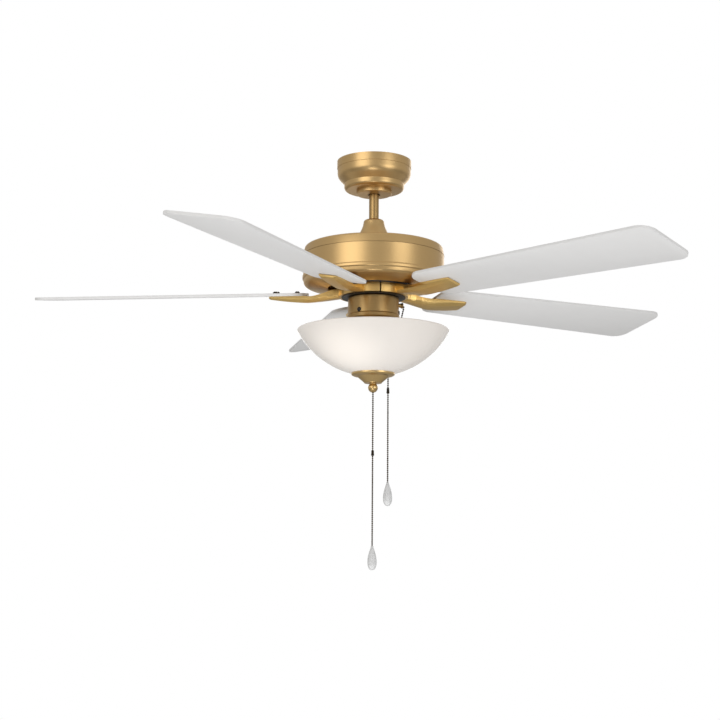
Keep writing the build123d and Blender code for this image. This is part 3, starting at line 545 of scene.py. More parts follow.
def arm_section(along, top, bottom, half_width, bevel, rise_height, share):
    """The corner points of one section, turned with the blade's pitch."""
    tilt = -BLADE_PITCH * share
    corners = [
        (half_width, top),
        (half_width, bottom + rise_height),
        (half_width - bevel, bottom),
        (-half_width + bevel, bottom),
        (-half_width, bottom + rise_height),
        (-half_width, top),
    ]
    points = []
    for across, height in corners:
        rise = height - BLADE_PLANE_Z
        y = across * math.cos(tilt) - rise * math.sin(tilt)
        z = BLADE_PLANE_Z + across * math.sin(tilt) + rise * math.cos(tilt)
        points.append((along * MM, y * MM, z * MM))
    return points


# %% One casting
STEPS_BETWEEN = 7
CAST_EDGE = 0.7


def tube_faces(first, rows, sides):
    """Faces of a row of closed sections, with both ends filled."""
    faces = []
    for row in range(rows - 1):
        for index in range(sides):
            after = (index + 1) % sides
            low, high = first + row * sides, first + (row + 1) * sides
            faces.append((low + index, low + after, high + after, high + index))
    faces.append(tuple(range(first, first + sides))[::-1])
    last = first + (rows - 1) * sides
    faces.append(tuple(range(last, last + sides)))
    return faces


def make_neck():
    stations = list(zip(*arm_stations))
    vertices, rows = [], 0
    for step in range(STEPS_BETWEEN * (len(arm_stations) - 1) + 1):
        position = step / STEPS_BETWEEN
        vertices += arm_section(*(curve_through(values, position) for values in stations))
        rows += 1
    vertices += arm_section(*ARM_END)
    return mesh_object("neck", vertices, tube_faces(0, rows + 1, 6), "gold_casting")


def make_ring_sector():
    half_sector = math.pi / BLADE_COUNT - ARM_GAP / 2 / ARM_RING_R
    steps = 24
    vertices = []
    for step in range(steps + 1):
        angle = -half_sector + 2 * half_sector * step / steps
        for radius, height in (
            (ARM_RING_INNER_R, ARM_RING_BOTTOM),
            (ARM_RING_R, ARM_RING_BOTTOM),
            (ARM_RING_R, ARM_RING_TOP),
            (ARM_RING_INNER_R, ARM_RING_TOP),
        ):
            vertices.append((radius * math.cos(angle) * MM, radius * math.sin(angle) * MM, height * MM))
    return mesh_object("sector", vertices, tube_faces(0, steps + 1, 4), "gold_casting")


def make_arm(name):
    arm, sector = make_neck(), make_ring_sector()
    arm.name = name
    join = arm.modifiers.new("join", "BOOLEAN")
    join.operation = "UNION"
    join.solver = "EXACT"
    join.object = sector
    edge = arm.modifiers.new("edge", "BEVEL")
    edge.width = CAST_EDGE * MM
    edge.segments = 2
    edge.limit_method = "ANGLE"
    edge.angle_limit = math.radians(24)
    edge.harden_normals = False
    evaluated(arm)
    bpy.data.objects.remove(sector)
    arm.data.shade_smooth()
    arm.data.set_sharp_from_angle(angle=math.radians(22))
    return arm


pattern = make_arm("arm_pattern")
print("one arm:", len(pattern.data.polygons), "faces")
for number, angle in enumerate(blade_angles, 1):
    arm = bpy.data.objects.new(f"arm_casting_{number}", pattern.data.copy())
    bpy.context.scene.collection.objects.link(arm)
    placed(arm, Matrix.Rotation(math.radians(angle), 4, "Z"))
    dress(arm, "rotor", "gold_casting", f"blade_arm_{number}")
bpy.data.objects.remove(pattern)

# %% [markdown]
# ## Screws
# The same dome-head screw appears many times, which is what Geometry Nodes are for: the
# tree takes a cloud of points with a direction each, puts one screw on every point, and
# ends in real geometry, because instances are lost when the model is exported.

# %% The screw and its tree
def make_screw(name, head_radius, head_height, shank_radius, shank_length):
    """A dome-head screw with a cross recess, standing on z = 0."""
    dome = [(head_radius * math.cos(a), head_height * math.sin(a)) for a in (0.0, 0.3, 0.6, 0.9, 1.2, 1.45)]
    profile = [(0.001, -shank_length), (shank_radius, -shank_length), (shank_radius, 0.0)] + dome
    profile += [(0.001, head_height)]
    screw = turned(name, profile, "dark_screw", 32)
    arms = []
    for size in ((1.3 * head_radius, 0.24 * head_radius), (0.24 * head_radius, 1.3 * head_radius)):
        bpy.ops.mesh.primitive_cube_add(size=1)
        cutter = bpy.context.object
        depth = 0.5 * head_height
        scale = Matrix.Diagonal((size[0] * MM, size[1] * MM, depth * MM, 1))
        cutter.data.transform(Matrix.Translation((0, 0, head_height * MM)) @ scale)
        arms.append(cutter)
    return cut_away(screw, *arms)


def make_scatter_tree():
    """Geometry Nodes: one piece on every point, turned so that its Z follows the point's direction."""
    tree = bpy.data.node_groups.new("piece_on_points", "GeometryNodeTree")
    tree.interface.new_socket("Geometry", in_out="INPUT", socket_type="NodeSocketGeometry")
    tree.interface.new_socket("Piece", in_out="INPUT", socket_type="NodeSocketObject")
    tree.interface.new_socket("Material", in_out="INPUT", socket_type="NodeSocketMaterial")
    tree.interface.new_socket("Size", in_out="INPUT", socket_type="NodeSocketFloat").default_value = 1.0
    tree.interface.new_socket("Geometry", in_out="OUTPUT", socket_type="NodeSocketGeometry")
    start, end = add(tree, "NodeGroupInput"), add(tree, "NodeGroupOutput")
    piece = add(tree, "GeometryNodeObjectInfo")
    direction = add(tree, "GeometryNodeInputNamedAttribute", data_type="FLOAT_VECTOR")
    direction.inputs["Name"].default_value = "direction"
    align = add(tree, "FunctionNodeAlignRotationToVector", axis="Z")
    place = add(tree, "GeometryNodeInstanceOnPoints")
    real = add(tree, "GeometryNodeRealizeInstances")
    paint = add(tree, "GeometryNodeSetMaterial")
    link = tree.links.new
    link(start.outputs["Geometry"], place.inputs["Points"])
    link(start.outputs["Piece"], piece.inputs["Object"])
    link(piece.outputs["Geometry"], place.inputs["Instance"])
    link(direction.outputs["Attribute"], align.inputs["Vector"])
    link(align.outputs["Rotation"], place.inputs["Rotation"])
    link(start.outputs["Size"], place.inputs["Scale"])
    link(place.outputs["Instances"], real.inputs["Geometry"])
    link(real.outputs["Geometry"], paint.inputs["Geometry"])
    link(start.outputs["Material"], paint.inputs["Material"])
    link(paint.outputs["Geometry"], end.inputs["Geometry"])
    return tree


SCATTER = make_scatter_tree()


def scatter(name, piece, spots, material):
    """A plain mesh made of one copy of piece at each (place, direction) spot."""
    cloud = bpy.data.meshes.new(name)
    cloud.from_pydata([place for place, _ in spots], [], [])
    attribute = cloud.attributes.new("direction", "FLOAT_VECTOR", "POINT")
    for index, (_, direction) in enumerate(spots):
        attribute.data[index].vector = direction
    obj = bpy.data.objects.new(name, cloud)
    bpy.context.scene.collection.objects.link(obj)
    mesh = grown(obj, SCATTER, {"Piece": piece, "Material": FINISHES[material]})
    obj.data = mesh
    for extra in [a for a in mesh.attributes if a.name == "direction"]:
        mesh.attributes.remove(extra)
    return obj


# %% Blade screws, arm screws and kit screws
BLADE_SCREWS = [(148.8, 0.0), (190.0, -12.0), (190.0, 12.0)]
dome_screw = make_screw("dome_screw", 5.2, 4.4, 2.5, 11.0)
spots = []
for angle in blade_angles:
    matrix = along_blade(angle)
    for along, across in BLADE_SCREWS:
        head_seat = Vector((along * MM, across * MM, BLADE_THICKNESS / 2 * MM))
        spots.append((matrix @ head_seat, matrix.to_3x3() @ Vector((0, 0, 1))))
blade_screws = scatter("blade_screw_set", dome_screw, spots, "dark_screw")
dress(blade_screws, "rotor", "dark_screw", "blade_screws")

KIT_SCREW_ANGLES = [236.4, 356.4, 116.4]
KIT_SCREW_Z = -300.8
SWITCH_R = 49.1
spots = []
for angle in KIT_SCREW_ANGLES:
    outward = Vector((math.cos(math.radians(angle)), math.sin(math.radians(angle)), 0))
    spots.append((outward * SWITCH_R * MM + Vector((0, 0, KIT_SCREW_Z * MM)), outward))
thumb_screw = make_screw("thumb_screw", 4.4, 1.9, 2.0, 5.4)
kit_screws = scatter("kit_screw_set", thumb_screw, spots, "black_steel")
dress(kit_screws, "fan_body", "dark_screw", "light_kit_screws")
bpy.data.objects.remove(dome_screw)
bpy.data.objects.remove(thumb_screw)
print("screws:", BLADE_COUNT * len(BLADE_SCREWS), "on blades,", len(KIT_SCREW_ANGLES), "on the light kit")

# %% [markdown]
# ## Switch housing, disc and pan
# A black plate hangs on the end of the motor shaft and carries a brass cup with the
# switches; a flared pan closes the cup from below. The cup has real holes: a window for
# the reverse slider and one hole for the chain's ferrule.

# %% Switch housing
PORT_ANGLE, PORT_Z, PORT_END_R = 20.0, -282.2, 60.0
REVERSE_ANGLE, REVERSE_Z = 90.0, -289.0


def outward(angle, radius, height):
    """A place on the switch housing's wall, with +X pointing straight out."""
    turn = Matrix.Rotation(math.radians(angle), 4, "Z")
    return turn @ Matrix.Translation((radius * MM, 0, height * MM))


def block_cutter(size, matrix):
    bpy.ops.mesh.primitive_cube_add(size=1)
    cutter = bpy.context.object
    cutter.data.transform(matrix @ Matrix.Diagonal((size[0] * MM, size[1] * MM, size[2] * MM, 1)))
    return cutter


def round_cutter(radius, depth, matrix):
    """A round bar that lies along the matrix's X axis."""
    bpy.ops.mesh.primitive_cylinder_add(radius=radius * MM, depth=depth * MM, vertices=48)
    cutter = bpy.context.object
    cutter.data.transform(matrix @ Matrix.Rotation(math.pi / 2, 4, "Y"))
    return cutter


def upright_cutter(radius, depth, place):
    """A round bar that stands at a place given in millimetres."""
    turn = Matrix.Rotation(math.pi / 2, 4, "Y")
    return round_cutter(radius, depth, Matrix.Translation([c * MM for c in place]) @ turn)


cup_line = [(SWITCH_R, -305.1), (SWITCH_R, -271.8), (18.0, -271.8)]
# The cup's darker brass is painted shade, for the shade that the blades cast on it.
cup = turned("switch_cup", sheet_profile(cup_line, [2.2], SHEET), "painted_shade_brass")
REVERSE_WINDOW, PORT_HOLE_R, CUT_DEPTH = (10, 7, 11), 4.05, 10
cutters = [
    block_cutter(REVERSE_WINDOW, outward(REVERSE_ANGLE, SWITCH_R, REVERSE_Z)),
    round_cutter(PORT_HOLE_R, CUT_DEPTH, outward(PORT_ANGLE, SWITCH_R, PORT_Z)),
]
cut_away(cup, *cutters)
dress(cup, "fan_body", "satin_brass", "switch_housing")
disc_profile = [
    (7.6, -271.7), (61.6, -271.7), (61.8, -271.5),
    (61.8, -271.0), (61.6, -270.8), (7.6, -270.8),
]
disc = turned("disc_plate", disc_profile, "black_steel")
dress(disc, "fan_body", "black_steel", "mounting_disc")

# %% Ferrule
# The ferrule and its collar take the darker brass, which is painted shade.
start, mouth = SWITCH_R - 5, PORT_END_R
ferrule_out = rounded([(4.0, start), (4.0, mouth - 5), (5.6, mouth - 0.8), (5.6, mouth)], [3.0, 0.4])
ferrule_in = rounded([(2.6, start), (2.6, mouth - 5), (4.4, mouth)], [3.0])
ferrule = turned("port_ferrule", ferrule_out + ferrule_in[::-1], "painted_shade_brass", 48)
placed(ferrule, outward(PORT_ANGLE, 0, PORT_Z) @ Matrix.Rotation(math.pi / 2, 4, "Y"))
collar_profile = [(2.7, 49.2), (5.0, 49.2), (5.4, 49.6), (5.4, 50.3), (5.0, 50.7), (2.7, 50.7)]
collar = turned("port_collar", collar_profile, "painted_shade_brass", 48)
placed(collar, outward(PORT_ANGLE, 0, PORT_Z) @ Matrix.Rotation(math.pi / 2, 4, "Y"))
dress(ferrule, "fan_body", "satin_brass", "chain_port")
dress(collar, "fan_body", "satin_brass")

# %% [markdown]
# ## Light kit pan
# The pan's lip flares out a little under the cup. The CAD piece also has the plate and
# the two tabs that hold the lamps, so it stays as it is and only the visible skin is
# laid over it: the outer face is rebuilt a hair larger with a finer curve.

# %% Pan
PAN_R = 52.6
SKIN = 0.12
pan_line = [
    (PAN_R - 3.8, -319.0 - SKIN),
    (PAN_R + SKIN, -319.0 - SKIN),
    (PAN_R + SKIN, -316.6),
    (PAN_R - 1.9 + SKIN, -313.6),
    (PAN_R - 2.4 + SKIN, -307.0),
    (PAN_R - 3.2 + SKIN, -305.4),
]
# The pan's darker brass is painted shade.
pan = turned("pan_skin", sheet_profile(pan_line, [1.0, 0.8, 6.0, 1.0], 0.6), "painted_shade_brass")
dress(pan, "fan_body", "satin_brass")

# %% [markdown]
# ## Opal bowl
# The bowl is a slice of a sphere with a rounded rim. Opal glass is milky all through:
# light goes in and scatters, so it looks white with a warm patch where the lamps are.
# The finish uses subsurface scattering, and a weak warm glow is placed by position on the
# bowl, in the material, instead of a lamp inside that would cost noise. The fan's chain
# goes through a small hole in the glass, under the edge of the cap.

# %% Bowl
BOWL_R, BOWL_Z, GLASS = 167.4, -255.6, 4.0
BOWL_RIM_Z, BOWL_HOLE_R = -334.4, 6.0


def sphere_point(sphere_radius, height):
    """Where a sphere about the bowl's centre meets a height: (radius, height)."""
    return (math.sqrt(sphere_radius**2 - (height - BOWL_Z) ** 2), height)


def bowl_profile():
    edge_z = BOWL_RIM_Z - 2.2
    outer_low = BOWL_Z - math.sqrt(BOWL_R**2 - BOWL_HOLE_R**2)
    inner_low = BOWL_Z - math.sqrt((BOWL_R - GLASS) ** 2 - BOWL_HOLE_R**2)
    outer, inner = [], []
    for step in range(49):
        share = math.sin(step / 48 * math.pi / 2)
        outer.append(sphere_point(BOWL_R, outer_low + (edge_z - outer_low) * share**2))
        inner.append(sphere_point(BOWL_R - GLASS, inner_low + (edge_z - inner_low) * share**2))
    middle = Vector(((outer[-1][0] + inner[-1][0]) / 2, edge_z))
    half = (outer[-1][0] - inner[-1][0]) / 2
    rise = BOWL_RIM_Z - edge_z
    rim = []
    for step in range(1, 8):
        angle = math.pi * step / 8
        rim.append((middle.x + half * math.cos(angle), edge_z + rise * math.sin(angle)))
    return outer + rim + inner[::-1]


CHAIN_HOLE_AT, CHAIN_HOLE_R = (30.3, 20.1, -418.0), 5.0
bowl = turned("opal_bowl", bowl_profile(), "opal_glass", 200)
BOWL_CUT_DEPTH = 24
cut_away(bowl, upright_cutter(CHAIN_HOLE_R, BOWL_CUT_DEPTH, CHAIN_HOLE_AT))
dress(bowl, "fan_body", "opal_glass", "glass_bowl")

# %% The glow in the glass
GLOW_AT = (-0.052, -0.085, -0.392)
GLOW_RADIUS = 0.11
OPAL_GLOW = 0.11


def add_glow(material, place, radius, colour, strength, elsewhere):
    """Warm light that fades with distance from a place."""
    tree = material.node_tree
    shader = tree.nodes["Principled BSDF"]
    where = add(tree, "ShaderNodeTexCoord")
    gap = add(tree, "ShaderNodeVectorMath", operation="DISTANCE")
    gap.inputs[1].default_value = place
    fade = add(tree, "ShaderNodeMapRange", interpolation_type="SMOOTHERSTEP")
    fade.inputs["From Max"].default_value = radius
    fade.inputs["To Min"].default_value = strength
    fade.inputs["To Max"].default_value = elsewhere
    tree.links.new(where.outputs["Object"], gap.inputs[0])
    tree.links.new(gap.outputs["Value"], fade.inputs["Value"])
    tree.links.new(fade.outputs["Result"], shader.inputs["Emission Strength"])
    shader.inputs["Emission Color"].default_value = (*colour, 1)


add_glow(FINISHES["opal_glass"], GLOW_AT, GLOW_RADIUS, (1.0, 0.92, 0.80), OPAL_GLOW + 0.18, OPAL_GLOW)

# %% [markdown]
# ## Fitter cap and finial
# The bowl hangs on a threaded pipe and is held from below by a turned brass cap: a broad
# lip, a cove and a cone. The ball finial screws on under it. The light's chain leaves
# through the ball and the fan's chain through a hole in the cap's lip.

# %% Cap and finial
CAP_R, CAP_TOP, CAP_BOTTOM = 41.6, -418.0, -437.2
FAN_EXIT = Vector((28.9, 20.0, -422.6))
cap_out = rounded(
    [
        (CAP_R, CAP_TOP), (CAP_R, CAP_TOP - 3.2), (38.4, -423.0),
        (30.6, -424.6), (17.4, -435.8), (16.8, CAP_BOTTOM),
    ],
    [1.4, 3.0, 3.0, 1.2],
)
cap_in = [(4.9, CAP_BOTTOM), (4.9, -426.1), (24.0, -426.1), (26.0, -422.4), (39.6, -419.6), (41.2, -418.0)]
# The cap's brighter brass is a painted highlight.
cap = turned("cap_turning", cap_out + cap_in, "painted_highlight_brass", 128)
CAP_HOLE_R, CAP_CUT_DEPTH, CAP_HOLE_SHIFT = 4.4, 30, Vector((-0.5, 0, 0))
cut_away(cap, upright_cutter(CAP_HOLE_R, CAP_CUT_DEPTH, FAN_EXIT + CAP_HOLE_SHIFT))
dress(cap, "fan_body", "satin_brass", "fitter_cap")

FINIAL_R, FINIAL_Z, FINIAL_MOUTH_Z = 9.4, -446.0, -454.6
ball_line = [(2.4, -437.4), (6.4, -437.4), (6.4, -439.0)]
for step in range(1, 19):
    angle = math.radians(48) - math.radians(133) * step / 19
    ball_line.append((FINIAL_R * math.cos(angle), FINIAL_Z + FINIAL_R * math.sin(angle)))
ball_line += [(4.1, -454.2), (3.3, -452.8), (2.4, -451.6)]
# The finial's brighter brass is a painted highlight.
finial = turned("finial_ball", ball_line, "painted_highlight_brass", 64)
dress(finial, "fan_body", "satin_brass", "finial")

# %% [markdown]
# ## Bead chains
# A ball chain is a row of hollow beads joined by short wire links. The tree below walks a
# curve in equal steps and puts one bead-and-link on each step, so a chain of any length
# comes from its route alone. The routes are the ones that the mechanical part uses.

# %% The chain's tree
BEAD_R, BEAD_STEP, LINK_R = 1.7, 3.8, 0.7


def make_chain_tree():
    """Geometry Nodes: beads at equal steps along a curve, and a thin wire through them."""
    tree = bpy.data.node_groups.new("bead_chain", "GeometryNodeTree")
    tree.interface.new_socket("Geometry", in_out="INPUT", socket_type="NodeSocketGeometry")
    for label, value in (("Bead radius", BEAD_R), ("Bead step", BEAD_STEP), ("Wire radius", LINK_R)):
        socket = tree.interface.new_socket(label, in_out="INPUT", socket_type="NodeSocketFloat")
        socket.default_value = value * MM
    tree.interface.new_socket("Material", in_out="INPUT", socket_type="NodeSocketMaterial")
    tree.interface.new_socket("Geometry", in_out="OUTPUT", socket_type="NodeSocketGeometry")
    start, end = add(tree, "NodeGroupInput"), add(tree, "NodeGroupOutput")
    points = add(tree, "GeometryNodeCurveToPoints", mode="LENGTH")
    bead = add(tree, "GeometryNodeMeshUVSphere")
    bead.inputs["Segments"].default_value = 16
    bead.inputs["Rings"].default_value = 10
    place = add(tree, "GeometryNodeInstanceOnPoints")
    circle = add(tree, "GeometryNodeCurvePrimitiveCircle")
    circle.inputs["Resolution"].default_value = 8
    wire = add(tree, "GeometryNodeCurveToMesh")
    both = add(tree, "GeometryNodeJoinGeometry")
    real = add(tree, "GeometryNodeRealizeInstances")
    smooth = add(tree, "GeometryNodeSetShadeSmooth")
    paint = add(tree, "GeometryNodeSetMaterial")
    link = tree.links.new
    link(start.outputs["Geometry"], points.inputs["Curve"])
    link(start.outputs["Bead step"], points.inputs["Length"])
    link(start.outputs["Bead radius"], bead.inputs["Radius"])
    link(points.outputs["Points"], place.inputs["Points"])
    link(bead.outputs["Mesh"], place.inputs["Instance"])
    link(start.outputs["Wire radius"], circle.inputs["Radius"])
    link(start.outputs["Geometry"], wire.inputs["Curve"])
    link(circle.outputs["Curve"], wire.inputs["Profile Curve"])
    link(place.outputs["Instances"], both.inputs["Geometry"])
    link(wire.outputs["Mesh"], both.inputs["Geometry"])
    link(both.outputs["Geometry"], real.inputs["Geometry"])
    link(real.outputs["Geometry"], smooth.inputs["Geometry"])
    link(smooth.outputs["Geometry"], paint.inputs["Geometry"])
    link(start.outputs["Material"], paint.inputs["Material"])
    link(paint.outputs["Geometry"], end.inputs["Geometry"])
    return tree


CHAIN = make_chain_tree()


def chain(name, route):
    """A bead chain along a route of points in metres."""
    curve = bpy.data.curves.new(name, "CURVE")
    curve.dimensions = "3D"
    line = curve.splines.new("POLY")
    line.points.add(len(route) - 1)
    for point, place in zip(line.points, route):
        point.co = (*place, 1)
    holder = bpy.data.objects.new(name + "_route", curve)
    bpy.context.scene.collection.objects.link(holder)
    values = {"Bead radius": BEAD_R * MM, "Bead step": BEAD_STEP * MM, "Wire radius": LINK_R * MM}
    mesh = grown(holder, CHAIN, {**values, "Material": FINISHES["bead_chain"]})
    bpy.data.objects.remove(holder)
    obj = bpy.data.objects.new(name, mesh)
    bpy.context.scene.collection.objects.link(obj)
    return obj


def route_length(route):
    return sum((Vector(b) - Vector(a)).length for a, b in zip(route, route[1:]))


# %% Connectors and pendants
FLUTES = 10


def make_connector(name, x, y, middle_z):
    """A small bell that clips two lengths of chain together."""
    line = [(1.65, 5.0), (2.2, 5.0), (2.6, 4.2), (2.5, 0.5), (3.0, -3.6), (2.8, -5.0), (1.65, -5.0)]
    bell = turned(name, line, "chain_fitting", 32)
    return placed(bell, Matrix.Translation((x * MM, y * MM, middle_z * MM)))


def make_pendant(name, x, y, top_z):
    """A fluted drop: its radius waves round the axis, most where it is widest."""
    length, widest, belly = 45.0, 8.7, 30.0
    line = [(0.4, 0.0), (2.2, 0.0), (2.6, -0.5), (2.6, -3.4), (3.2, -4.0)]
    for step in range(1, 25):
        share = step / 24
        radius = 3.2 + (widest - 3.2) * math.sin(share * math.pi / 2)
        line.append((radius, -4.0 - (belly - 4.0) * share))
    for step in range(1, 17):
        angle = math.pi / 2 * step / 16
        radius = widest * math.cos(angle) ** 0.8
        line.append((max(radius, 0.4), -belly - (length - belly) * math.sin(angle)))

    def wave(angle, height):
        depth = 0.05 * min(1.0, max(0.0, (-height - 5.0) / 12.0)) * min(1.0, (length + height) / 3.0)
        return 1.0 - depth * (0.5 - 0.5 * math.cos(FLUTES * angle))

    drop = turned(name, line, "frosted_acrylic", 80, wave)
    return placed(drop, Matrix.Translation((x * MM, y * MM, top_z * MM)))


# %% The light's chain
JOINT_GAP = 0.9
LIGHT_PENDANT_Z, LIGHT_CONNECTOR_Z = -746.2, -571.0
light_route = [(0, 0, (FINIAL_MOUTH_Z - JOINT_GAP) * MM), (0, 0, -0.60), (0, 0, LIGHT_PENDANT_Z * MM)]
light_chain = chain("light_bead_chain", light_route)
light_bell = make_connector("light_chain_bell", 0, 0, LIGHT_CONNECTOR_Z)
light_drop = make_pendant("light_drop", 0, 0, LIGHT_PENDANT_Z)
dress(light_chain, "light_pull_end", "bead_chain", "light_chain")
dress(light_bell, "light_pull_end", "chain_fitting", "light_chain_connector")
dress(light_drop, "light_pull_end", "frosted_acrylic", "light_pendant")
inner_route = [(0, 0, (FINIAL_MOUTH_Z - JOINT_GAP + BEAD_STEP) * MM), (0, 0, -0.322)]
light_inner = chain("light_chain_in_pipe", inner_route)
dress(light_inner, "light_pull", "bead_chain", "light_chain_inner")

# %% The fan's chain
FAN_CONNECTOR_Z, FAN_PENDANT_Z = -448.8, -625.0
STUB_DROP = 6.0
port_turn = math.radians(PORT_ANGLE)
lip_reach = PORT_END_R + 3.4
lip = Vector((lip_reach * math.cos(port_turn), lip_reach * math.sin(port_turn), PORT_Z - 1.0))


def slant(height):
    """The point of the slanting stretch at a height."""
    return FAN_EXIT + (lip - FAN_EXIT) * ((height - FAN_EXIT.z) / (lip.z - FAN_EXIT.z))


port_inside = Vector((50.0 * math.cos(port_turn), 50.0 * math.sin(port_turn), PORT_Z))
bend = []
for step in range(9):
    share = step / 8
    early = port_inside.lerp(lip, 0.75 + 0.25 * share)
    late = lip.lerp(slant(lip.z - STUB_DROP), share * 0.6)
    bend.append(early.lerp(late, share) * MM)
stub_route = [port_inside * MM, *bend, slant(lip.z - STUB_DROP) * MM]
stub = chain("fan_chain_bend", stub_route)
dress(stub, "fan_body", "bead_chain", "fan_chain_stub")
slant_route = [slant(lip.z - STUB_DROP - 0.5) * MM, slant(FAN_EXIT.z + 0.4) * MM]
fan_inner = chain("fan_chain_slant", slant_route)
dress(fan_inner, "fan_pull", "bead_chain", "fan_chain_inner")
fan_x, fan_y = FAN_EXIT.x, FAN_EXIT.y
fan_route = [(fan_x * MM, fan_y * MM, z * MM) for z in (FAN_EXIT.z - JOINT_GAP, -520.0, FAN_PENDANT_Z)]
fan_chain = chain("fan_bead_chain", fan_route)
fan_bell = make_connector("fan_chain_bell", fan_x, fan_y, FAN_CONNECTOR_Z)
fan_drop = make_pendant("fan_drop", fan_x, fan_y, FAN_PENDANT_Z)
dress(fan_chain, "fan_pull_end", "bead_chain", "fan_chain")
dress(fan_bell, "fan_pull_end", "chain_fitting", "fan_chain_connector")
dress(fan_drop, "fan_pull_end", "frosted_acrylic", "fan_pendant")


def finely(route, pieces=60):
    """The same route with many points."""
    out = []
    for a, b in zip(route, route[1:]):
        out += [tuple(Vector(a).lerp(Vector(b), step / pieces)) for step in range(pieces)]
    return out + [tuple(route[-1])]


for obj, route, end_kind, riders in (
    (light_chain, light_route, "fitting", [light_drop, light_bell]),
    (fan_chain, fan_route, "fitting", [fan_drop, fan_bell]),
    (light_inner, inner_route, "object", []),
    (fan_inner, slant_route, "object", []),
):
    finely(route)
    print(obj.name, "length", round(route_length(route), 4), "m")

# %% [markdown]
# ## Everything inside
# Pieces that are hidden or seldom seen keep their CAD mesh and only get a finish: the
# bracket and ball in the canopy, the motor, the switches, the lampholders and the lamps.

# %% Finishes on the CAD nodes that still show
slot_of_node = {entry["node"]: entry["material_slot"] for entry in frame["record"]["subparts"]}
kept = 0
for name, node in frame["nodes"].items():
    if node.hide_render:
        continue
    node.data.materials.clear()
    node.data.materials.append(FINISHES[slot_of_node[name]])
    kept += 1
print("CAD nodes that still show:", kept)

# %% [markdown]
# ## Studio
# The fan hangs in front of white, so the camera sees a white world, while everything
# else is lit by a softer grey one: brass only looks like brass when parts of what it
# mirrors are dark. Soft lights stand left, right, behind, low in front and under the fan.
# The one underneath lights the blades and bowl but stays out of the brass's reflections.


# %% World
WHITE_STRENGTH = 1.0


def make_world():
    world = bpy.data.worlds.new("studio")
    bpy.context.scene.world = world
    world.use_nodes = True
    tree = world.node_tree
    tree.nodes.clear()
    where = add(tree, "ShaderNodeTexCoord")
    split = add(tree, "ShaderNodeSeparateXYZ")
    ramp = add(tree, "ShaderNodeValToRGB")
    height = add(tree, "ShaderNodeMapRange")
    height.inputs["From Min"].default_value = -1.0
    stops = [(0.0, 0.46), (0.14, 0.40), (0.32, 0.24), (0.46, 0.46), (0.54, 0.58), (0.66, 0.46), (1.0, 0.70)]
    ramp.color_ramp.elements[0].position = stops[0][0]
    ramp.color_ramp.elements[1].position = stops[-1][0]
    for position, _ in stops[1:-1]:
        ramp.color_ramp.elements.new(position)
    for element, (_, value) in zip(ramp.color_ramp.elements, stops):
        element.color = (value, value * 0.985, value * 0.96, 1)
    seen = add(tree, "ShaderNodeLightPath")
    mix = add(tree, "ShaderNodeMixShader")
    dim, white = add(tree, "ShaderNodeBackground"), add(tree, "ShaderNodeBackground")
    white.inputs["Color"].default_value = (1, 1, 1, 1)
    white.inputs["Strength"].default_value = WHITE_STRENGTH
    dim.inputs["Strength"].default_value = 1.0
    out = add(tree, "ShaderNodeOutputWorld")
    link = tree.links.new
    link(where.outputs["Generated"], split.inputs[0])
    link(split.outputs["Z"], height.inputs["Value"])
    link(height.outputs["Result"], ramp.inputs["Fac"])
    link(ramp.outputs["Color"], dim.inputs["Color"])
    link(seen.outputs["Is Camera Ray"], mix.inputs["Fac"])
    link(dim.outputs[0], mix.inputs[1])
    link(white.outputs[0], mix.inputs[2])
    link(mix.outputs[0], out.inputs["Surface"])


make_world()


# %% Lights
def soft_light(name, place, aim, size, power, tint=(1, 1, 1)):
    lamp = bpy.data.lights.new(name, "AREA")
    lamp.shape = "RECTANGLE"
    lamp.size, lamp.size_y = size
    lamp.energy = power
    lamp.color = tint
    obj = bpy.data.objects.new(name, lamp)
    bpy.context.scene.collection.objects.link(obj)
    obj.location = place
    obj.rotation_euler = (Vector(aim) - Vector(place)).to_track_quat("-Z", "Y").to_euler()
    return obj


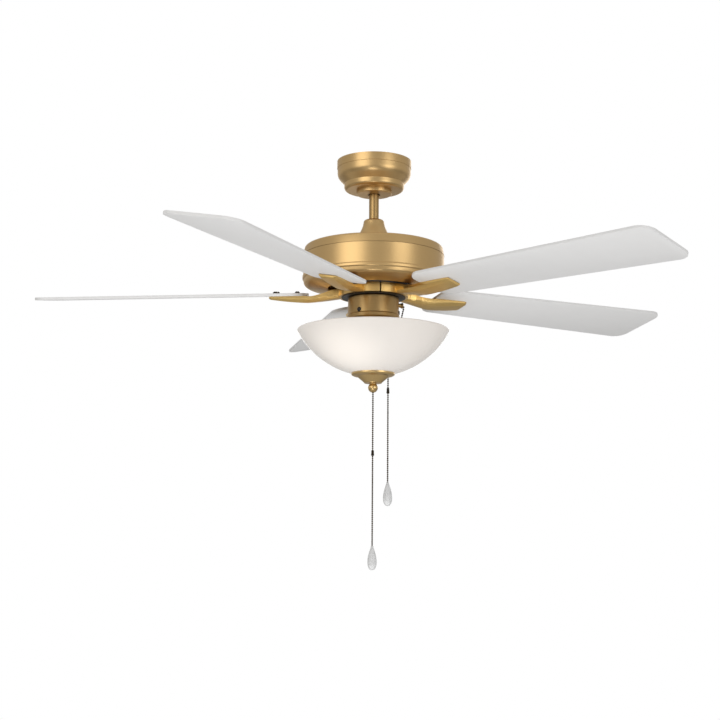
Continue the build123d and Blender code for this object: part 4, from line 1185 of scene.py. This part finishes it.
MIDDLE = (0, 0, -0.3)
soft_light("key", (-1.6, -2.2, 0.4), MIDDLE, (1.9, 1.7), 16, (1.0, 0.98, 0.95))
soft_light("fill", (1.9, -1.9, -0.2), MIDDLE, (1.3, 1.5), 12)
soft_light("back", (0.3, 2.2, 0.3), MIDDLE, (2.0, 1.0), 9)
soft_light("low", (-0.3, -2.0, -1.7), MIDDLE, (0.9, 0.7), 7)
under = soft_light("under", (0.0, -0.6, -2.1), MIDDLE, (2.4, 2.0), 21)
under.visible_glossy = False

# %% [markdown]
# ## Floor
# A plain pale floor lies far below the fan, lower than it would be in a room, so that a
# low camera still stands above it. It is as white as the world and only the camera sees
# it: a floor that took part in the lighting would put a grey horizon into every brass
# surface.

# %% Floor
FLOOR_Z, FLOOR_HALF = -4.4, 9.0
bpy.ops.mesh.primitive_plane_add(size=2 * FLOOR_HALF)
floor = bpy.context.object
floor.name = "floor"
floor.data.transform(Matrix.Translation((0, 0, FLOOR_Z)))
pale = finish("pale_floor", [(0.90, 0.90, 0.90), (0.93, 0.93, 0.93)], (0.6, 0.8), sizes=(2.0, 0.02))
pale.node_tree.nodes["Principled BSDF"].inputs["Emission Color"].default_value = (1, 1, 1, 1)
pale.node_tree.nodes["Principled BSDF"].inputs["Emission Strength"].default_value = 0.5
floor.data.materials.append(pale)
floor.visible_diffuse = floor.visible_glossy = floor.visible_shadow = floor.visible_transmission = False

# %% [markdown]
# ## Camera
# A long lens from a little under the fan, as a visitor would see it from across a room.
# The plain view transform keeps a white world white at strength one, so thin dark pieces
# such as the chains are not washed out by it.

# %% Camera
bpy.context.scene.view_settings.view_transform = "Standard"
CAMERA_PLACE, LENS = (0, -2.815, -0.8347), 74.33
PITCH, YAW, ROLL = math.radians(8.93), math.radians(-0.512), math.radians(0.4)
forward = Vector((math.sin(YAW) * math.cos(PITCH), math.cos(YAW) * math.cos(PITCH), math.sin(PITCH)))
right = Vector((math.cos(YAW), -math.sin(YAW), 0))
above = right.cross(forward)
right_rolled = right * math.cos(ROLL) + above * math.sin(ROLL)
above_rolled = above * math.cos(ROLL) - right * math.sin(ROLL)
camera_data = bpy.data.cameras.new("camera")
camera_data.lens = LENS
camera_data.sensor_width = 36.0
camera = bpy.data.objects.new("camera", camera_data)
bpy.context.scene.collection.objects.link(camera)
turn = Matrix((right_rolled, above_rolled, -forward)).transposed().to_4x4()
camera.matrix_world = Matrix.Translation(CAMERA_PLACE) @ turn
bpy.context.scene.camera = camera
